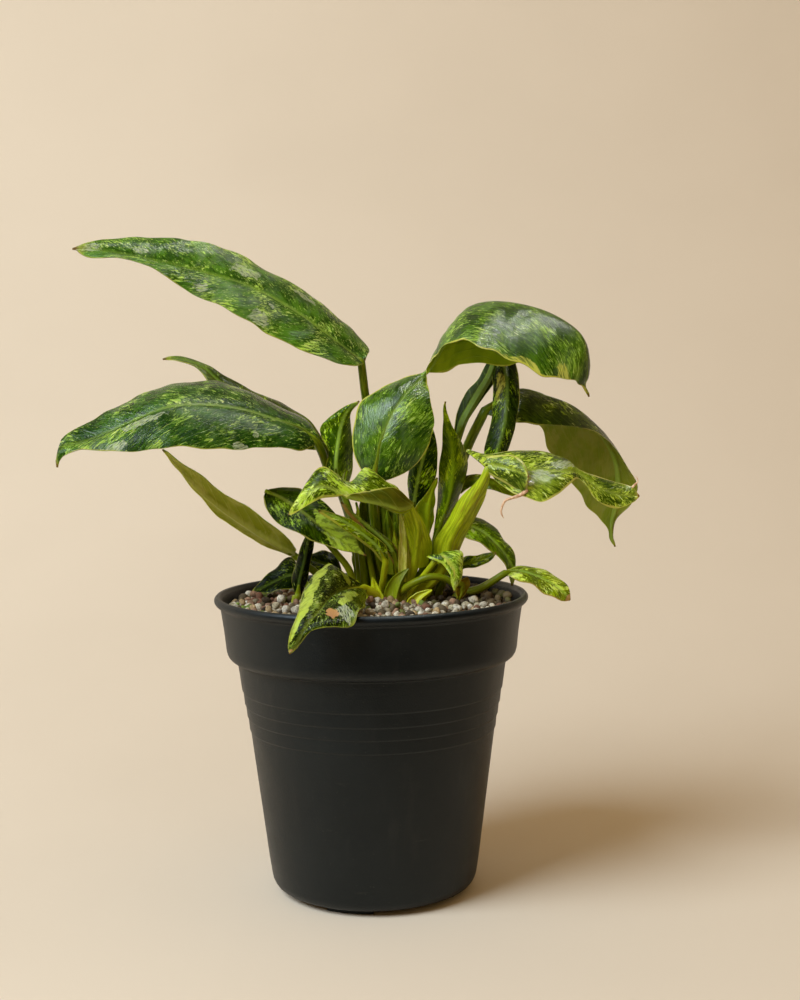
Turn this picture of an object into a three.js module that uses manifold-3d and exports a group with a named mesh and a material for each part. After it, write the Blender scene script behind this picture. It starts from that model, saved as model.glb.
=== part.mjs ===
import * as THREE from "three";
import { mergeVertices } from "three/addons/utils/BufferGeometryUtils.js";
import Module from "manifold-3d";

// A potted variegated philodendron in a black nursery pot.
// Millimetres, +Z up. The origin is the middle of the pot's foot, on the surface it stands on.

const wasm = await Module();
wasm.setup();

// Driving dimensions of the pot
const POT_HEIGHT = 124.4;
const LIP_RADIUS = 65.3;
const RIM_TOP_RADIUS = 64.3;
const COLLAR_RADIUS = 61.3;
const COLLAR_LOW_Z = 97.8;
const BODY_TOP_RADIUS = 56.1;
const BODY_LOW_RADIUS = 44.1;
const BODY_LOW_Z = 13;
const FOOT_RADIUS = 37.4;
const FOOT_WIDTH = 4;
const FOOT_HEIGHT = 2;
const WALL = 1.5;
const ROUND_STEPS = 40;
const RING_STEPS = [[68.1, 51.1], [73.6, 52.0], [78.8, 52.95], [84.6, 53.95]];
const RING_STEP_DEPTH = 0.45;
const FOOT_COUNT = 4;
const FOOT_SPAN = 30;
const FIRST_FOOT_ANGLE = -106;
const BOSS_RADIUS = 9;
const DRAIN_COUNT = 6;
const DRAIN_RADIUS = 4;
const DRAIN_CIRCLE = 27;

// Driving dimensions of what fills the pot
const CLEAR = 0.35;
const SOIL_TOP = 107;
const GRIT_TOP = 119.3;
const GRIT_RADIUS = 60.2;
const GRIT_LOW_RADIUS = 58.7;
const GRIT_RINGS = 14;
const PEBBLE_RISE = 1;
const PEBBLE_DIP = -0.6;
const PEBBLE_SCATTER = 0.45;
const CROWN_CENTRE = [8, 12];
const CROWN_RADIUS = 13;
const CROWN_LOW = 100;
const CROWN_TOP = 109.8;

// Driving dimensions of the leaves
const BLADE = 0.9;
const STALK_SIDES = 6;
const STALK_STEP = 18;
const RIB_SHARE = 0.18;
const RIB_STEPS = 2;
const RIB_SINK = 0.4;
const ROW_LENGTH = 10.5;
const FEWEST_ROWS = 6;
const MOST_ROWS = 16;
const BROAD_HALF = 12;
const DEFAULT_CURL = [0.1, 0.1];
const DEFAULT_RUFFLE = [0.5, 3];
const NO_RUFFLE = [0, 1];

// Young rolled leaves and sheaths that rise from the crown: points, then the girth at each
const SPEARS = [
  { points: [[3, 11.5, 108], [1.5, 11.5, 125], [-2.5, 12.5, 145], [-6, 12.5, 161]], girth: [1.5, 1.4, 1, 0.5] },
  { points: [[11, 13.5, 108], [12, 13, 122], [10.5, 12, 138], [8.5, 10, 151]], girth: [1.4, 1.5, 1.1, 0.5] },
  { points: [[12, 12.8, 108], [13.5, 11.5, 124], [12.5, 10, 142], [11, 8, 158]], girth: [1.2, 1.6, 1.4, 0.5] },
];

// Each leaf: its stalk from the foot up to the blade, the stalk's girth at its two ends,
// and rows across the blade from base to tip, each row as left margin, rib, right margin.
// Left and right are as seen on the upper face with the tip away from the eye.
const LEAVES = [
  {
    name: "leaf_upper_left",
    stalk: [[2, 27, 111], [3, 27, 122], [0.5, 22, 161], [0, 14, 191.5], [-2, 8, 210.5], [-3, 6, 220]],
    girth: [1.9, 1.7],
    rows: [
      [-2, 5, 219.5,  -3, 6, 220.5,  -1, 7, 222],
      [-7, -2, 218.5,  -7.5, 5, 224,  -0.5, 14, 226.5],
      [-19, -8, 222,  -17.5, 2, 232,  -9.5, 14, 237],
      [-37, -11, 230,  -31, -1, 242,  -23.5, 12, 247.5],
      [-54, -14, 239.5,  -47.5, -4, 251,  -38, 8, 257],
      [-71, -16, 249,  -63.5, -7, 256,  -54.5, 4, 266],
      [-86.5, -17, 258.5,  -80, -10, 260,  -72, -1, 270],
      [-101.5, -17, 262,  -97, -12, 263.5,  -90, -5, 271],
      [-111, -16, 262.5,  -108.5, -13, 265.5,  -106, -10, 270],
      [-116.5, -14.5, 265.5,  -117.5, -14, 266,  -117, -13.5, 267],
    ],
  },
  {
    name: "leaf_left",
    stalk: [[-4, 21, 111], [-4, 20, 122], [-6, 17, 144.5], [-11.5, 14, 163.5], [-17, 9, 174.5], [-20, 1, 183.5], [-22, -4, 188]],
    girth: [2, 1.8],
    rows: [
      [-23, -5, 186,  -22, -4, 188.5,  -21.5, -3, 191],
      [-28.5, -12, 184.5,  -28.5, -6, 193.5,  -26.5, 3, 196.5],
      [-39, -17, 186.5,  -38, -9, 197,  -36, 5, 201.5],
      [-51.5, -21, 185.5,  -52, -12, 201.5,  -50, 4, 208.5],
      [-67, -25, 186.5,  -67, -15, 203.5,  -65, 2, 212.5],
      [-82.5, -27, 186.5,  -81, -18, 202.5,  -81, -1, 212],
      [-99, -28, 186,  -96, -20, 196.5,  -96.5, -6, 205.5],
      [-112.5, -27, 186.5,  -111, -22, 190,  -110.5, -13, 197.5],
      [-120, -26, 184.5,  -121, -24, 187.5,  -121, -20, 192],
      [-122.5, -26, 182.5,  -123, -25, 184.5,  -123, -24, 187.5],
      [-123, -26, 179.5,  -123.5, -26, 179.5,  -124.5, -26, 180],
    ],
  },
  {
    name: "leaf_left_behind",
    stalk: [[-5, 28, 111], [-5, 28, 122], [-8, 22, 148.5], [-14.5, 16, 170.5], [-19.5, 11, 185]],
    girth: [1.8, 1.6],
    rows: [
      [-20.5, 9, 183.5,  -19.5, 11, 185,  -19, 13, 187],
      [-29, 7, 184.5,  -28, 12, 192,  -25, 18, 195],
      [-42.5, 7, 191.5,  -39, 13, 199.5,  -36, 20, 203],
      [-55.5, 8, 201,  -51.5, 14, 205.5,  -47.5, 20, 207.5],
      [-65.5, 11, 211,  -63, 15, 212.5,  -58.5, 19, 213.5],
      [-72, 14, 218,  -70.5, 16, 219,  -68, 18, 219.5],
      [-80.5, 16, 221.5,  -79.5, 16.5, 222.5,  -78.5, 17, 223.5],
      [-86, 17, 222,  -87, 17, 222.5,  -86, 17, 223.5],
    ],
  },
  {
    name: "leaf_lower_left",
    stalk: [[-11, 20, 111], [-11, 20, 122], [-17.5, 14, 126], [-26, 12, 133.5], [-32.5, 11, 139]],
    girth: [1.7, 1.4],
    rows: [
      [-31.5, 10, 141.5,  -32.5, 11, 139.5,  -34.5, 12, 138.5],
      [-35.5, 5, 148,  -38.5, 9, 143.5,  -42, 14, 141.5],
      [-45, 1, 156,  -49, 7, 150.5,  -53.5, 13, 147.5],
      [-57, -2, 164.5,  -60.5, 4, 159,  -65, 10, 157],
      [-68, -4, 173,  -71.5, 2, 168.5,  -75.5, 7, 169.5],
      [-77.5, -3, 179.5,  -79.5, 0, 178,  -81.5, 3, 179],
      [-84.5, -0.5, 185,  -85.5, 0, 185,  -85.5, 0.5, 184],
    ],
  },
  {
    name: "leaf_twisted_right",
    stalk: [[8, 14, 111], [8, 13, 122], [4, 9, 136.5], [1.5, 3, 154.5], [1, -9, 170.5]],
    girth: [2, 1.8],
    rows: [
      [-1, -8, 172,  1, -9, 171,  3, -9, 170.5],
      [-6.5, -6, 182,  3, -11, 180,  17, -9, 176],
      [-6.5, -4, 192.5,  4.5, -12, 187.5,  24, -10, 186],
      [-3, -2, 203.5,  9.5, -11, 198.5,  26, -10, 196],
      [8, 0, 211,  15, -8, 206.5,  25, -7, 206],
      [21, 1, 215,  22.5, -1, 214.5,  24, 0, 212.5],
      [31.5, 5, 215.5,  30, 0, 226.5,  26.5, -6, 222],
      [41.5, 7, 219,  39, 2, 240,  33, -13, 227.5],
      [52, 7, 219.5,  48.5, 3, 244.5,  42, -19, 227.5],
      [65.5, 7, 218.5,  62.5, 1, 243.5,  53, -22, 221],
      [79.5, 4, 219.5,  76.5, -3, 238.5,  68.5, -22, 214.5],
      [89, 0, 217.5,  87.5, -7, 229.5,  80.5, -18, 212],
      [90, -6, 212.5,  88.5, -11, 217.5,  85, -14, 210],
      [88.5, -9, 209.5,  88, -10, 209.5,  87, -11, 209],
      [91, -8, 205,  90, -8, 205,  89.5, -8, 205],
    ],
  },
  {
    name: "leaf_upright_left",
    stalk: [[-2.5, 15.5, 111], [-2.5, 15, 122], [-4.5, 9, 143], [-8.5, 5, 157.5], [-12, 5, 167.5]],
    girth: [1.6, 1.4],
    rows: [
      [-14, 4, 168,  -12, 5, 167,  -10, 7, 167],
      [-18, 2, 175.5,  -14, 0, 175.5,  -7.5, 8, 174.5],
      [-17, 3, 183,  -13.5, 0, 184,  -7, 8, 183.5],
      [-20, 4, 189.5,  -12, 1, 193,  -7.5, 6, 192],
      [-19.5, 2, 194.5,  -10, 1, 199,  -8, 3, 198],
      [-11.5, 2, 201,  -7.5, 1, 202,  -6.5, 2, 201],
      [-5, 1, 204,  -4, 1, 204,  -3.5, 1, 203.5],
    ],
  },
  {
    name: "leaf_upright_right",
    stalk: [[13, 18, 111], [13, 18, 122], [16.5, 12, 138.5], [18, 5, 155]],
    girth: [1.6, 1.4],
    rows: [
      [17, 6, 155,  18, 5, 155,  19, 6, 155],
      [16.5, 8, 162,  18.5, 4, 162.5,  22.5, 6, 162],
      [16, 9, 170.5,  20, 4, 171,  27.5, 7, 171.5],
      [18, 9, 181,  22.5, 4, 181,  28.5, 7, 181],
      [21, 7, 188.5,  24.5, 4, 189,  27.5, 6, 188.5],
      [24, 5, 193.5,  25, 4, 194,  26, 5, 193.5],
    ],
  },
  {
    name: "leaf_spear",
    colour: "olive",
    stalk: [[19, 13, 111], [20, 12, 122], [26, 7, 132.5], [27.5, 4, 145]],
    girth: [1.8, 1.6],
    rows: [
      [26, 5, 145.5,  27.5, 4, 144.5,  29, 5, 146],
      [27.5, 5, 154.5,  30, 1, 154,  32, 4, 154.5],
      [28.5, 6, 165.5,  33, -1, 164.5,  37.5, 5, 164.5],
      [29, 6, 175.5,  34.5, -1, 176,  41, 6, 175.5],
      [30.5, 3, 185,  34, -1, 185,  39, 4, 185],
      [30.5, 0, 194,  32, -1, 194,  34.5, 1, 192.5],
      [30.5, -2, 200,  31, -2, 200,  32, -1, 199.5],
      [31, -3, 203.5,  31.5, -3, 203.5,  31.5, -3, 203],
    ],
  },
  {
    name: "leaf_olive_inner",
    colour: "olive",
    stalk: [[18, 18, 111], [18, 17, 122], [22.5, 9, 134.5], [23, 5, 143.5]],
    girth: [1.5, 1.3],
    rows: [
      [23.5, 6, 143,  23, 5, 143,  21.5, 4, 143.5],
      [26.5, 6, 153,  23.5, 3, 153,  20, 0, 154.5],
      [27, 5, 160,  24, 1, 160.5,  18.5, -2, 159],
      [27.5, 3, 166,  25.5, 0, 167,  22.5, -2, 164],
      [28.5, 1, 171.5,  28, 0, 172,  27, -1, 171],
    ],
  },
  {
    name: "leaf_arched_right",
    stalk: [[17, 24, 111], [17, 23, 122], [25.5, 18, 135.5], [31.5, 13, 161.5], [37, 11, 187]],
    girth: [1.9, 1.6],
    rows: [
      [38, 11, 189,  37, 11, 187,  35.5, 11, 189.5],
      [43, 14, 197,  40, 11, 195.5,  37, 13, 198],
      [49.5, 17, 206,  45.5, 13, 204.5,  41, 16, 206.5],
      [56, 19, 214.5,  51, 15, 213.5,  46.5, 18, 212.5],
      [60.5, 18, 223,  55.5, 15, 224,  51.5, 18, 220.5],
      [62.5, 11, 215.5,  57.5, 9, 215.5,  52.5, 13, 212],
      [63, 7, 204.5,  57.5, 4, 205.5,  52, 8, 203],
      [61, 4, 193.5,  56, 1, 193.5,  50.5, 5, 192.5],
      [58, 3, 184,  53, 0, 182.5,  48, 4, 183],
      [53.5, 3, 175.5,  51.5, 2, 173.5,  50, 4, 175.5],
    ],
  },
  {
    name: "leaf_right",
    stalk: [[24, 26, 111], [25, 26, 122], [33.5, 23, 156.5], [41, 19, 181.5], [49, 15, 199]],
    girth: [2.3, 2.1],
    rows: [
      [48, 17, 200.5,  49, 15, 199,  50, 14, 197.5],
      [61, 25, 197.5,  63, 20, 208,  61.5, 9, 195],
      [74.5, 33, 192,  78, 26, 205,  74.5, 13, 193],
      [79, 38, 180.5,  90, 30, 200,  89, 18, 191.5],
      [85, 41, 172,  100, 33, 191,  102, 22, 186],
      [91.5, 42, 163.5,  107, 34, 180.5,  110.5, 26, 176.5],
      [98, 41, 155,  109.5, 35, 168.5,  116.5, 29, 165.5],
      [103, 39, 149,  108.5, 36, 156.5,  114.5, 33, 157],
      [105.5, 38, 145,  107, 37, 149,  109, 36, 150.5],
      [106, 37.5, 141.5,  107, 37, 142,  107.5, 37, 143],
      [108, 37.5, 138,  108.5, 37, 138,  109, 37, 138.5],
    ],
  },
  {
    name: "leaf_yellow_right",
    colour: "lime",
    stalk: [[18, 6, 111], [19, 5, 122], [29, 0, 132.5], [33, -4, 146.5], [39, -8, 158], [44.5, -11, 168], [48.5, -12, 176.5]],
    girth: [2.2, 1.7],
    rows: [
      [47, -11, 177,  48, -12, 176,  49.5, -12, 174.5],
      [39, -7, 184,  49.5, -13, 177,  51.5, -16, 171],
      [48.5, -5, 181.5,  55, -14, 177,  56.5, -19, 167.5],
      [58.5, -5, 183.5,  61.5, -16, 176,  61.5, -22, 165],
      [67.5, -5, 183,  69, -17, 175.5,  68, -24, 163.5],
      [75.5, -7, 181.5,  76, -17, 175,  75, -23, 166.5],
      [81.5, -9, 179,  81, -15, 175,  81.5, -19, 171],
      [85.5, -12, 175.5,  85, -13, 173.5,  85, -15, 171.5],
      [93.5, -9, 172,  93, -13, 168,  91.5, -16, 163],
      [102, -8, 169.5,  101, -12, 165,  99.5, -14, 159.5],
      [107.5, -9, 167.5,  108, -10, 164,  107, -12, 161.5],
      [110, -9, 165,  110.5, -9, 164,  110, -10, 163],
    ],
    wing: [
      [26.5, 4, 136,  30.5, -2, 136,  35, 3, 136],
      [27, 0, 146,  33, -5, 146.5,  38.5, 0, 145.5],
      [31.5, -3, 153.5,  37.5, -9, 156.5,  42.5, -5, 154],
      [36.5, -6, 163,  41, -11, 164,  46.5, -8, 162.5],
      [42.5, -9, 169.5,  45, -12, 170.5,  48, -11, 169],
      [47.5, -12, 175.5,  48, -12.5, 175.5,  49.5, -12, 175],
    ],
    flap: [
      [47.5, -13, 181,  48, -15, 178,  48.5, -15, 174],
      [54, -17, 182,  54, -20, 177,  54, -18, 171],
      [59, -20, 181,  60, -23, 175.5,  60, -20, 168],
      [63, -23, 177.5,  63.5, -25, 172.5,  62.5, -23, 166.5],
    ],
  },
  {
    name: "leaf_small_tip",
    colour: "olive",
    stalk: [[25, 12.5, 111], [25, 12.5, 122], [32, 11, 144.5], [37, 10, 165]],
    girth: [1.2, 1],
    rows: [
      [36.5, 10, 166.5,  37, 10, 165,  38.5, 10, 164.5],
      [40.5, 11, 172,  41.5, 9, 170,  42.5, 8, 167.5],
      [48, 10, 172,  48, 8, 170,  47, 6, 167],
      [55, 8, 169,  54.5, 7, 167.5,  53, 5, 165.5],
      [61.5, 5.5, 164,  61.5, 5, 163.5,  61, 5, 163],
    ],
  },
  {
    name: "leaf_strap_right",
    stalk: [[29, 18, 111], [29, 18, 122], [32.5, 15, 131.5], [36, 12, 144.5], [38.5, 12, 149]],
    girth: [1.6, 1.4],
    rows: [
      [39, 14, 151,  38.5, 12, 149,  38.5, 10, 146.5],
      [43.5, 18, 153.5,  42.5, 13, 150,  41, 9, 145.5],
      [50, 20, 151.5,  48, 13, 147.5,  46, 8, 143.5],
      [56, 20, 145.5,  53.5, 13, 142.5,  51.5, 8, 139.5],
      [61, 18, 139,  58, 13, 136.5,  56, 8, 135],
      [62, 15, 132.5,  60, 12, 131.5,  58, 10, 131],
      [61, 13, 125,  60, 12, 124.5,  59.5, 11, 125.5],
    ],
  },
  {
    name: "leaf_low_right",
    stalk: [[36, 8, 111], [36, 8, 121], [46, 6, 124.5], [56.5, 5, 131]],
    girth: [1.6, 1.4],
    rows: [
      [57, 6, 132,  57, 5, 131,  57.5, 4, 130],
      [64, 10, 133.5,  63, 6, 131.5,  61.5, 1, 128.5],
      [72.5, 12, 131.5,  70.5, 6, 129,  68, 0, 126],
      [79.5, 11, 128,  77.5, 6, 125,  74.5, 0, 122.5],
      [83.5, 9, 124,  81.5, 6, 121.5,  79.5, 2, 119.5],
      [84.5, 7, 120,  84, 6, 119,  83, 5, 118.5],
    ],
  },
  {
    name: "leaf_thin_right",
    colour: "olive",
    stalk: [[28.5, 12, 111], [28.5, 12, 121], [30.5, 7, 126.5], [31.5, 6, 130.5]],
    girth: [1.2, 1.1],
    rows: [
      [31.5, 6, 131.5,  31.5, 6, 130.5,  32, 5, 129],
      [38.5, 7, 137,  38.5, 5, 134.5,  39, 3, 133],
      [46, 5, 139,  46, 4, 137,  46.5, 2, 135],
      [52.5, 3, 140.5,  52.5, 3, 140,  52.5, 2, 138.5],
    ],
  },
  {
    name: "leaf_small_bright",
    colour: "lime",
    stalk: [[14, 2, 111], [14, 1.5, 121], [21, -1, 130], [26.5, -4, 137.5]],
    girth: [1.3, 1.2],
    rows: [
      [27, -3, 138.5,  26.5, -3.5, 138,  25.5, -4, 138],
      [32, -5, 142,  29, -9, 140.5,  23, -9, 140],
      [37.5, -5, 141.5,  32, -11, 138.5,  29, -11, 137],
      [38, -8, 136.5,  34.5, -12, 134.5,  31.5, -12, 133.5],
      [36.5, -11, 130.5,  34.5, -13, 130,  32.5, -13, 130.5],
      [34, -13, 126,  34, -13, 126,  33.5, -13, 126.5],
    ],
  },
  {
    name: "leaf_brown_low",
    colour: "olive",
    stalk: [[10, 1.5, 111], [10, 1, 121], [16, -6, 128], [24, -8, 131.5], [31, -7, 130.5], [34, -6, 128]],
    girth: [1.5, 1.3],
    rows: [
      [33.5, -6, 127.5,  34, -6, 128,  35.5, -6, 129],
      [35, -7, 125,  37.5, -5, 127.5,  40.5, -3, 130.5],
      [35, -7, 122,  37, -5, 123.5,  40, -4, 125.5],
      [35, -7, 120.5,  35.5, -7, 120.5,  36, -6, 120.5],
    ],
  },
  {
    name: "leaf_front",
    colour: "lime",
    stalk: [[4, 1, 111], [4, 0, 121], [1, -4, 124.5], [-3, -7, 127]],
    girth: [1.8, 1.6],
    rows: [
      [-2, -7, 126.5,  -3, -7, 127,  -4, -7, 128.5],
      [-2, -20, 125.5,  -7, -20, 129,  -10, -16, 134],
      [-2.5, -44, 125.5,  -12.5, -38, 130.5,  -16.5, -26, 139.5],
      [-4, -65, 126.5,  -16.5, -54, 129.5,  -23, -38, 136],
      [-7.5, -70, 122,  -20, -66, 126.5,  -26.5, -54, 130.5],
      [-15.5, -73, 122,  -23, -71, 124,  -27.5, -67, 125.5],
      [-22.5, -73, 120.5,  -26, -73, 119,  -30, -71, 119.5],
      [-27.5, -72, 114.5,  -28.5, -72, 114.5,  -31, -71, 115],
      [-30, -71, 112,  -30.5, -71, 112,  -30.5, -71, 112.5],
    ],
  },
  {
    name: "leaf_mid_left",
    colour: "lime",
    stalk: [[-7, 13, 111], [-7, 13, 121], [-9, 9, 132], [-15, 8, 140.5], [-25.5, 6, 152.5], [-36.5, 2, 163.5], [-43, -1, 167]],
    girth: [1.5, 1.2],
    rows: [
      [-41.5, 0, 168,  -43, -1, 167,  -44, -2, 165],
      [-34, 2, 168.5,  -37, -3, 164.5,  -42.5, -6, 160],
      [-27, 1, 167.5,  -29.5, -6, 160,  -35.5, -10, 153],
      [-19.5, -1, 162.5,  -23, -8, 155,  -27, -13, 149.5],
      [-12.5, -3, 156,  -16, -9, 150,  -19, -13, 146],
      [-7.5, -6, 150.5,  -10.5, -10, 146.5,  -12, -13, 143.5],
      [-5.5, -9, 145,  -7, -10, 143.5,  -7.5, -12, 142.5],
      [-2.5, -10, 141.5,  -2, -10, 141,  -3, -10, 141],
    ],
  },
  {
    name: "leaf_gutter_left",
    colour: "lime",
    stalk: [[13, 8, 111], [13, 7, 121], [18.5, 0, 137.5], [19.5, -8, 151], [16, -12, 161]],
    girth: [2.4, 1.7],
    rows: [
      [17, -11, 163,  16, -12, 161,  14, -11, 163.5],
      [11.5, -17, 168,  11.5, -16, 160,  11, -14, 169],
      [6, -19, 169.5,  6.5, -18, 162,  6.5, -14, 172],
      [-1.5, -20, 168.5,  0, -20, 163.5,  -1.5, -14, 177],
      [-7.5, -22, 167.5,  -7, -21, 165.5,  -8, -17, 172],
      [-13.5, -22, 166.5,  -12, -22, 168,  -13.5, -16, 175],
      [-20, -22, 165.5,  -19.5, -22, 170.5,  -19.5, -16, 178],
      [-26, -21, 162,  -26, -21, 166.5,  -25, -17, 172.5],
      [-30, -20, 159.5,  -30, -20, 162,  -29, -18, 166],
      [-33, -18, 158.5,  -33, -18, 159,  -33, -18, 159.5],
    ],
    wing: [
      [16, 2, 135,  19.5, 0, 134.5,  23.5, 2, 135],
      [16, -3, 144.5,  20.5, -6, 144.5,  25.5, -2, 144],
      [14, -7, 153,  18, -10, 153.5,  22, -7, 153.5],
      [14, -11, 159.5,  15.5, -12.5, 160.5,  18, -11, 160.5],
    ],
  },
  {
    name: "leaf_diagonal",
    stalk: [[4, 8, 111], [4, 7, 121], [5, 0, 129.5], [6, -5, 137.5]],
    girth: [1.4, 1.3],
    rows: [
      [4.5, -4, 137.5,  6, -5, 137.5,  7.5, -4, 138],
      [0, -8, 143.5,  2.5, -10, 145,  6, -8, 145],
      [-7, -12, 149.5,  -4.5, -14, 151.5,  -1, -11, 151],
      [-13.5, -16, 154.5,  -11.5, -17, 156.5,  -8.5, -15, 156.5],
      [-21.5, -18, 160,  -21, -18, 160.5,  -20.5, -17.5, 161],
    ],
  },
  {
    name: "leaf_brown_edge",
    stalk: [[9, 8.5, 111], [9, 8.5, 121], [11.5, 4, 129], [11, -1, 135.5]],
    girth: [1.3, 1.2],
    rows: [
      [10, 0, 135,  11, -1, 135.5,  12, 0, 135],
      [5.5, -3, 143,  8, -5, 144,  10.5, -1, 143],
      [-2, -6, 150.5,  0, -7, 152,  2.5, -4, 151],
      [-8.5, -8, 156.5,  -7, -8, 158,  -5.5, -6, 157],
      [-12, -9, 162.5,  -12, -9, 163,  -11, -9, 163],
    ],
  },
  {
    name: "leaf_low_left",
    stalk: [[-25, 16, 111], [-25, 16, 121], [-27.5, 18, 125.5], [-30.5, 18, 127.5]],
    girth: [1.4, 1.2],
    rows: [
      [-30.5, 16, 125.5,  -30.5, 18, 127.5,  -30.5, 20, 130],
      [-34.5, 14, 124.5,  -35, 18, 129.5,  -34.5, 24, 137],
      [-41, 14, 123,  -41, 18, 127,  -41, 23, 132.5],
      [-47, 15, 122,  -46.5, 17, 124.5,  -46, 20, 128],
      [-51, 17, 122.5,  -51.5, 17, 122.5,  -51, 17, 123.5],
    ],
  },
  {
    name: "leaf_dark_strap",
    stalk: [[-32, 6, 111], [-32, 6, 121], [-31, 5, 122]],
    girth: [1.5, 1.3],
    rows: [
      [-32, 6, 123,  -31, 5, 122,  -29.5, 6, 123],
      [-33.5, 7, 129,  -30, 3, 129.5,  -27, 7, 129],
      [-31.5, 7, 136.5,  -28, 3, 137,  -25.5, 7, 136.5],
      [-29, 6, 144,  -26.5, 3, 144,  -24, 6, 144],
      [-26, 4, 150,  -25, 4, 150.5,  -24, 4, 149.5],
    ],
  },
  {
    name: "leaf_dim_left",
    colour: "olive",
    stalk: [[-18, 26, 111], [-18, 26, 121], [-13, 22, 126.5]],
    girth: [1.4, 1.2],
    rows: [
      [-13.5, 21, 125.5,  -13, 22, 126.5,  -12, 23, 128],
      [-18, 20, 127,  -17, 23, 132,  -15, 27, 136.5],
      [-23.5, 21, 129,  -22, 24, 134,  -20.5, 27, 139],
      [-27, 23, 134.5,  -27.5, 24, 136,  -26.5, 25, 137.5],
    ],
  },
];

const COLOURS = {
  plastic: 0x23262a,
  soil: 0x3a2a1e,
  grit: 0xb3a596,
  crown: 0xa9b84a,
  dark: 0x2c5a24,
  lime: 0x8fae3a,
  olive: 0x6c7a38,
};

// A seeded draw between -1 and 1
function seededDraw(seed) {
  let state = seed;
  return () => {
    state = (state * 1664525 + 1013904223) % 4294967296;
    return state / 2147483648 - 1;
  };
}

function meshGeometry(points, triangles) {
  const geometry = new THREE.BufferGeometry();
  const flat = points.flatMap((p) => [p.x, p.y, p.z]);
  geometry.setAttribute("position", new THREE.Float32BufferAttribute(flat, 3));
  geometry.setIndex(triangles.flat());
  return geometry;
}

function toSolid(geometry) {
  const bare = geometry.clone();
  bare.deleteAttribute("normal");
  bare.deleteAttribute("uv");
  const merged = mergeVertices(bare, 1e-4);
  const mesh = new wasm.Mesh({
    numProp: 3,
    vertProperties: new Float32Array(merged.attributes.position.array),
    triVerts: new Uint32Array(merged.index.array),
  });
  return new wasm.Manifold(mesh);
}

function toGeometry(solid) {
  const mesh = solid.getMesh();
  const geometry = new THREE.BufferGeometry();
  geometry.setAttribute("position", new THREE.Float32BufferAttribute(mesh.vertProperties, 3));
  geometry.setIndex(Array.from(mesh.triVerts));
  return geometry;
}

function joined(solids) {
  return solids.reduce((whole, solid) => whole.add(solid));
}

// The body itself, without the slivers a join can leave beside it
function largest(solid) {
  return solid.decompose().reduce((best, piece) => (piece.volume() > best.volume() ? piece : best));
}

// Lathe about Z from radius and height pairs that start and end on the axis
function turned(profile, steps = ROUND_STEPS) {
  const points = profile.map(([radius, height]) => new THREE.Vector2(radius, height));
  return new THREE.LatheGeometry(points, steps).rotateX(Math.PI / 2);
}

// A smooth curve through hand-set points
function through(points) {
  const vectors = points.map((p) => new THREE.Vector3(...p));
  return new THREE.CatmullRomCurve3(vectors, false, "catmullrom", 0.5);
}

// A closed round rod along points, with a radius at each point
function rod(points, radii, sides = STALK_SIDES) {
  const rings = [];
  let side = new THREE.Vector3(1, 0, 0);
  points.forEach((centre, i) => {
    const before = points[Math.max(i - 1, 0)];
    const after = points[Math.min(i + 1, points.length - 1)];
    const along = after.clone().sub(before).normalize();
    side = side.clone().addScaledVector(along, -side.dot(along)).normalize();
    const up = along.clone().cross(side);
    for (let j = 0; j < sides; j += 1) {
      const angle = (2 * Math.PI * j) / sides;
      rings.push(
        centre.clone()
          .addScaledVector(side, radii[i] * Math.cos(angle))
          .addScaledVector(up, radii[i] * Math.sin(angle)),
      );
    }
  });
  const last = points.length - 1;
  const start = rings.push(points[0].clone()) - 1;
  const end = rings.push(points[last].clone()) - 1;
  const triangles = [];
  for (let j = 0; j < sides; j += 1) {
    const next = (j + 1) % sides;
    for (let i = 0; i < last; i += 1) {
      const a = i * sides + j;
      const b = i * sides + next;
      triangles.push([a, b, b + sides], [a, b + sides, a + sides]);
    }
    triangles.push([start, next, j], [end, last * sides + j, last * sides + next]);
  }
  return meshGeometry(rings, triangles);
}

function mix(values, at) {
  const spot = at * (values.length - 1);
  const low = Math.min(Math.floor(spot), values.length - 2);
  return THREE.MathUtils.lerp(values[low], values[low + 1], spot - low);
}

function spearRod(spear, extra) {
  const steps = 7;
  const points = through(spear.points).getPoints(steps);
  const radii = points.map((_, i) => mix(spear.girth, i / steps) + extra);
  return rod(points, radii);
}

// The three rails of a blade: left margin, rib and right margin
function rails(rows) {
  return [0, 3, 6].map((from) => through(rows.map((row) => row.slice(from, from + 3))));
}

// The middle surface of a blade as a grid of points, row by row from base to tip
function bladeGrid(rows, rowCount, halfColumns, curl, [ruffle, waves]) {
  const [left, rib, right] = rails(rows);
  const grid = [];
  for (let i = 0; i <= rowCount; i += 1) {
    const u = i / rowCount;
    const middle = rib.getPoint(u);
    const margins = [left.getPoint(u), right.getPoint(u)];
    const along = rib.getTangent(u);
    const normal = margins[1].clone().sub(margins[0]).cross(along).normalize();
    const row = [];
    for (let j = -halfColumns; j <= halfColumns; j += 1) {
      const margin = margins[j < 0 ? 0 : 1];
      const out = Math.abs(j) / halfColumns;
      const half = margin.distanceTo(middle);
      const arch = curl[j < 0 ? 0 : 1] * 4 * out * (1 - out) * half;
      const phase = j < 0 ? 0 : 1.3;
      const wave = ruffle * Math.sin(2 * Math.PI * waves * u + phase) * out * out * Math.sin(Math.PI * u);
      row.push(middle.clone().lerp(margin, out).addScaledVector(normal, arch + wave));
    }
    grid.push(row);
  }
  return grid;
}

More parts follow.
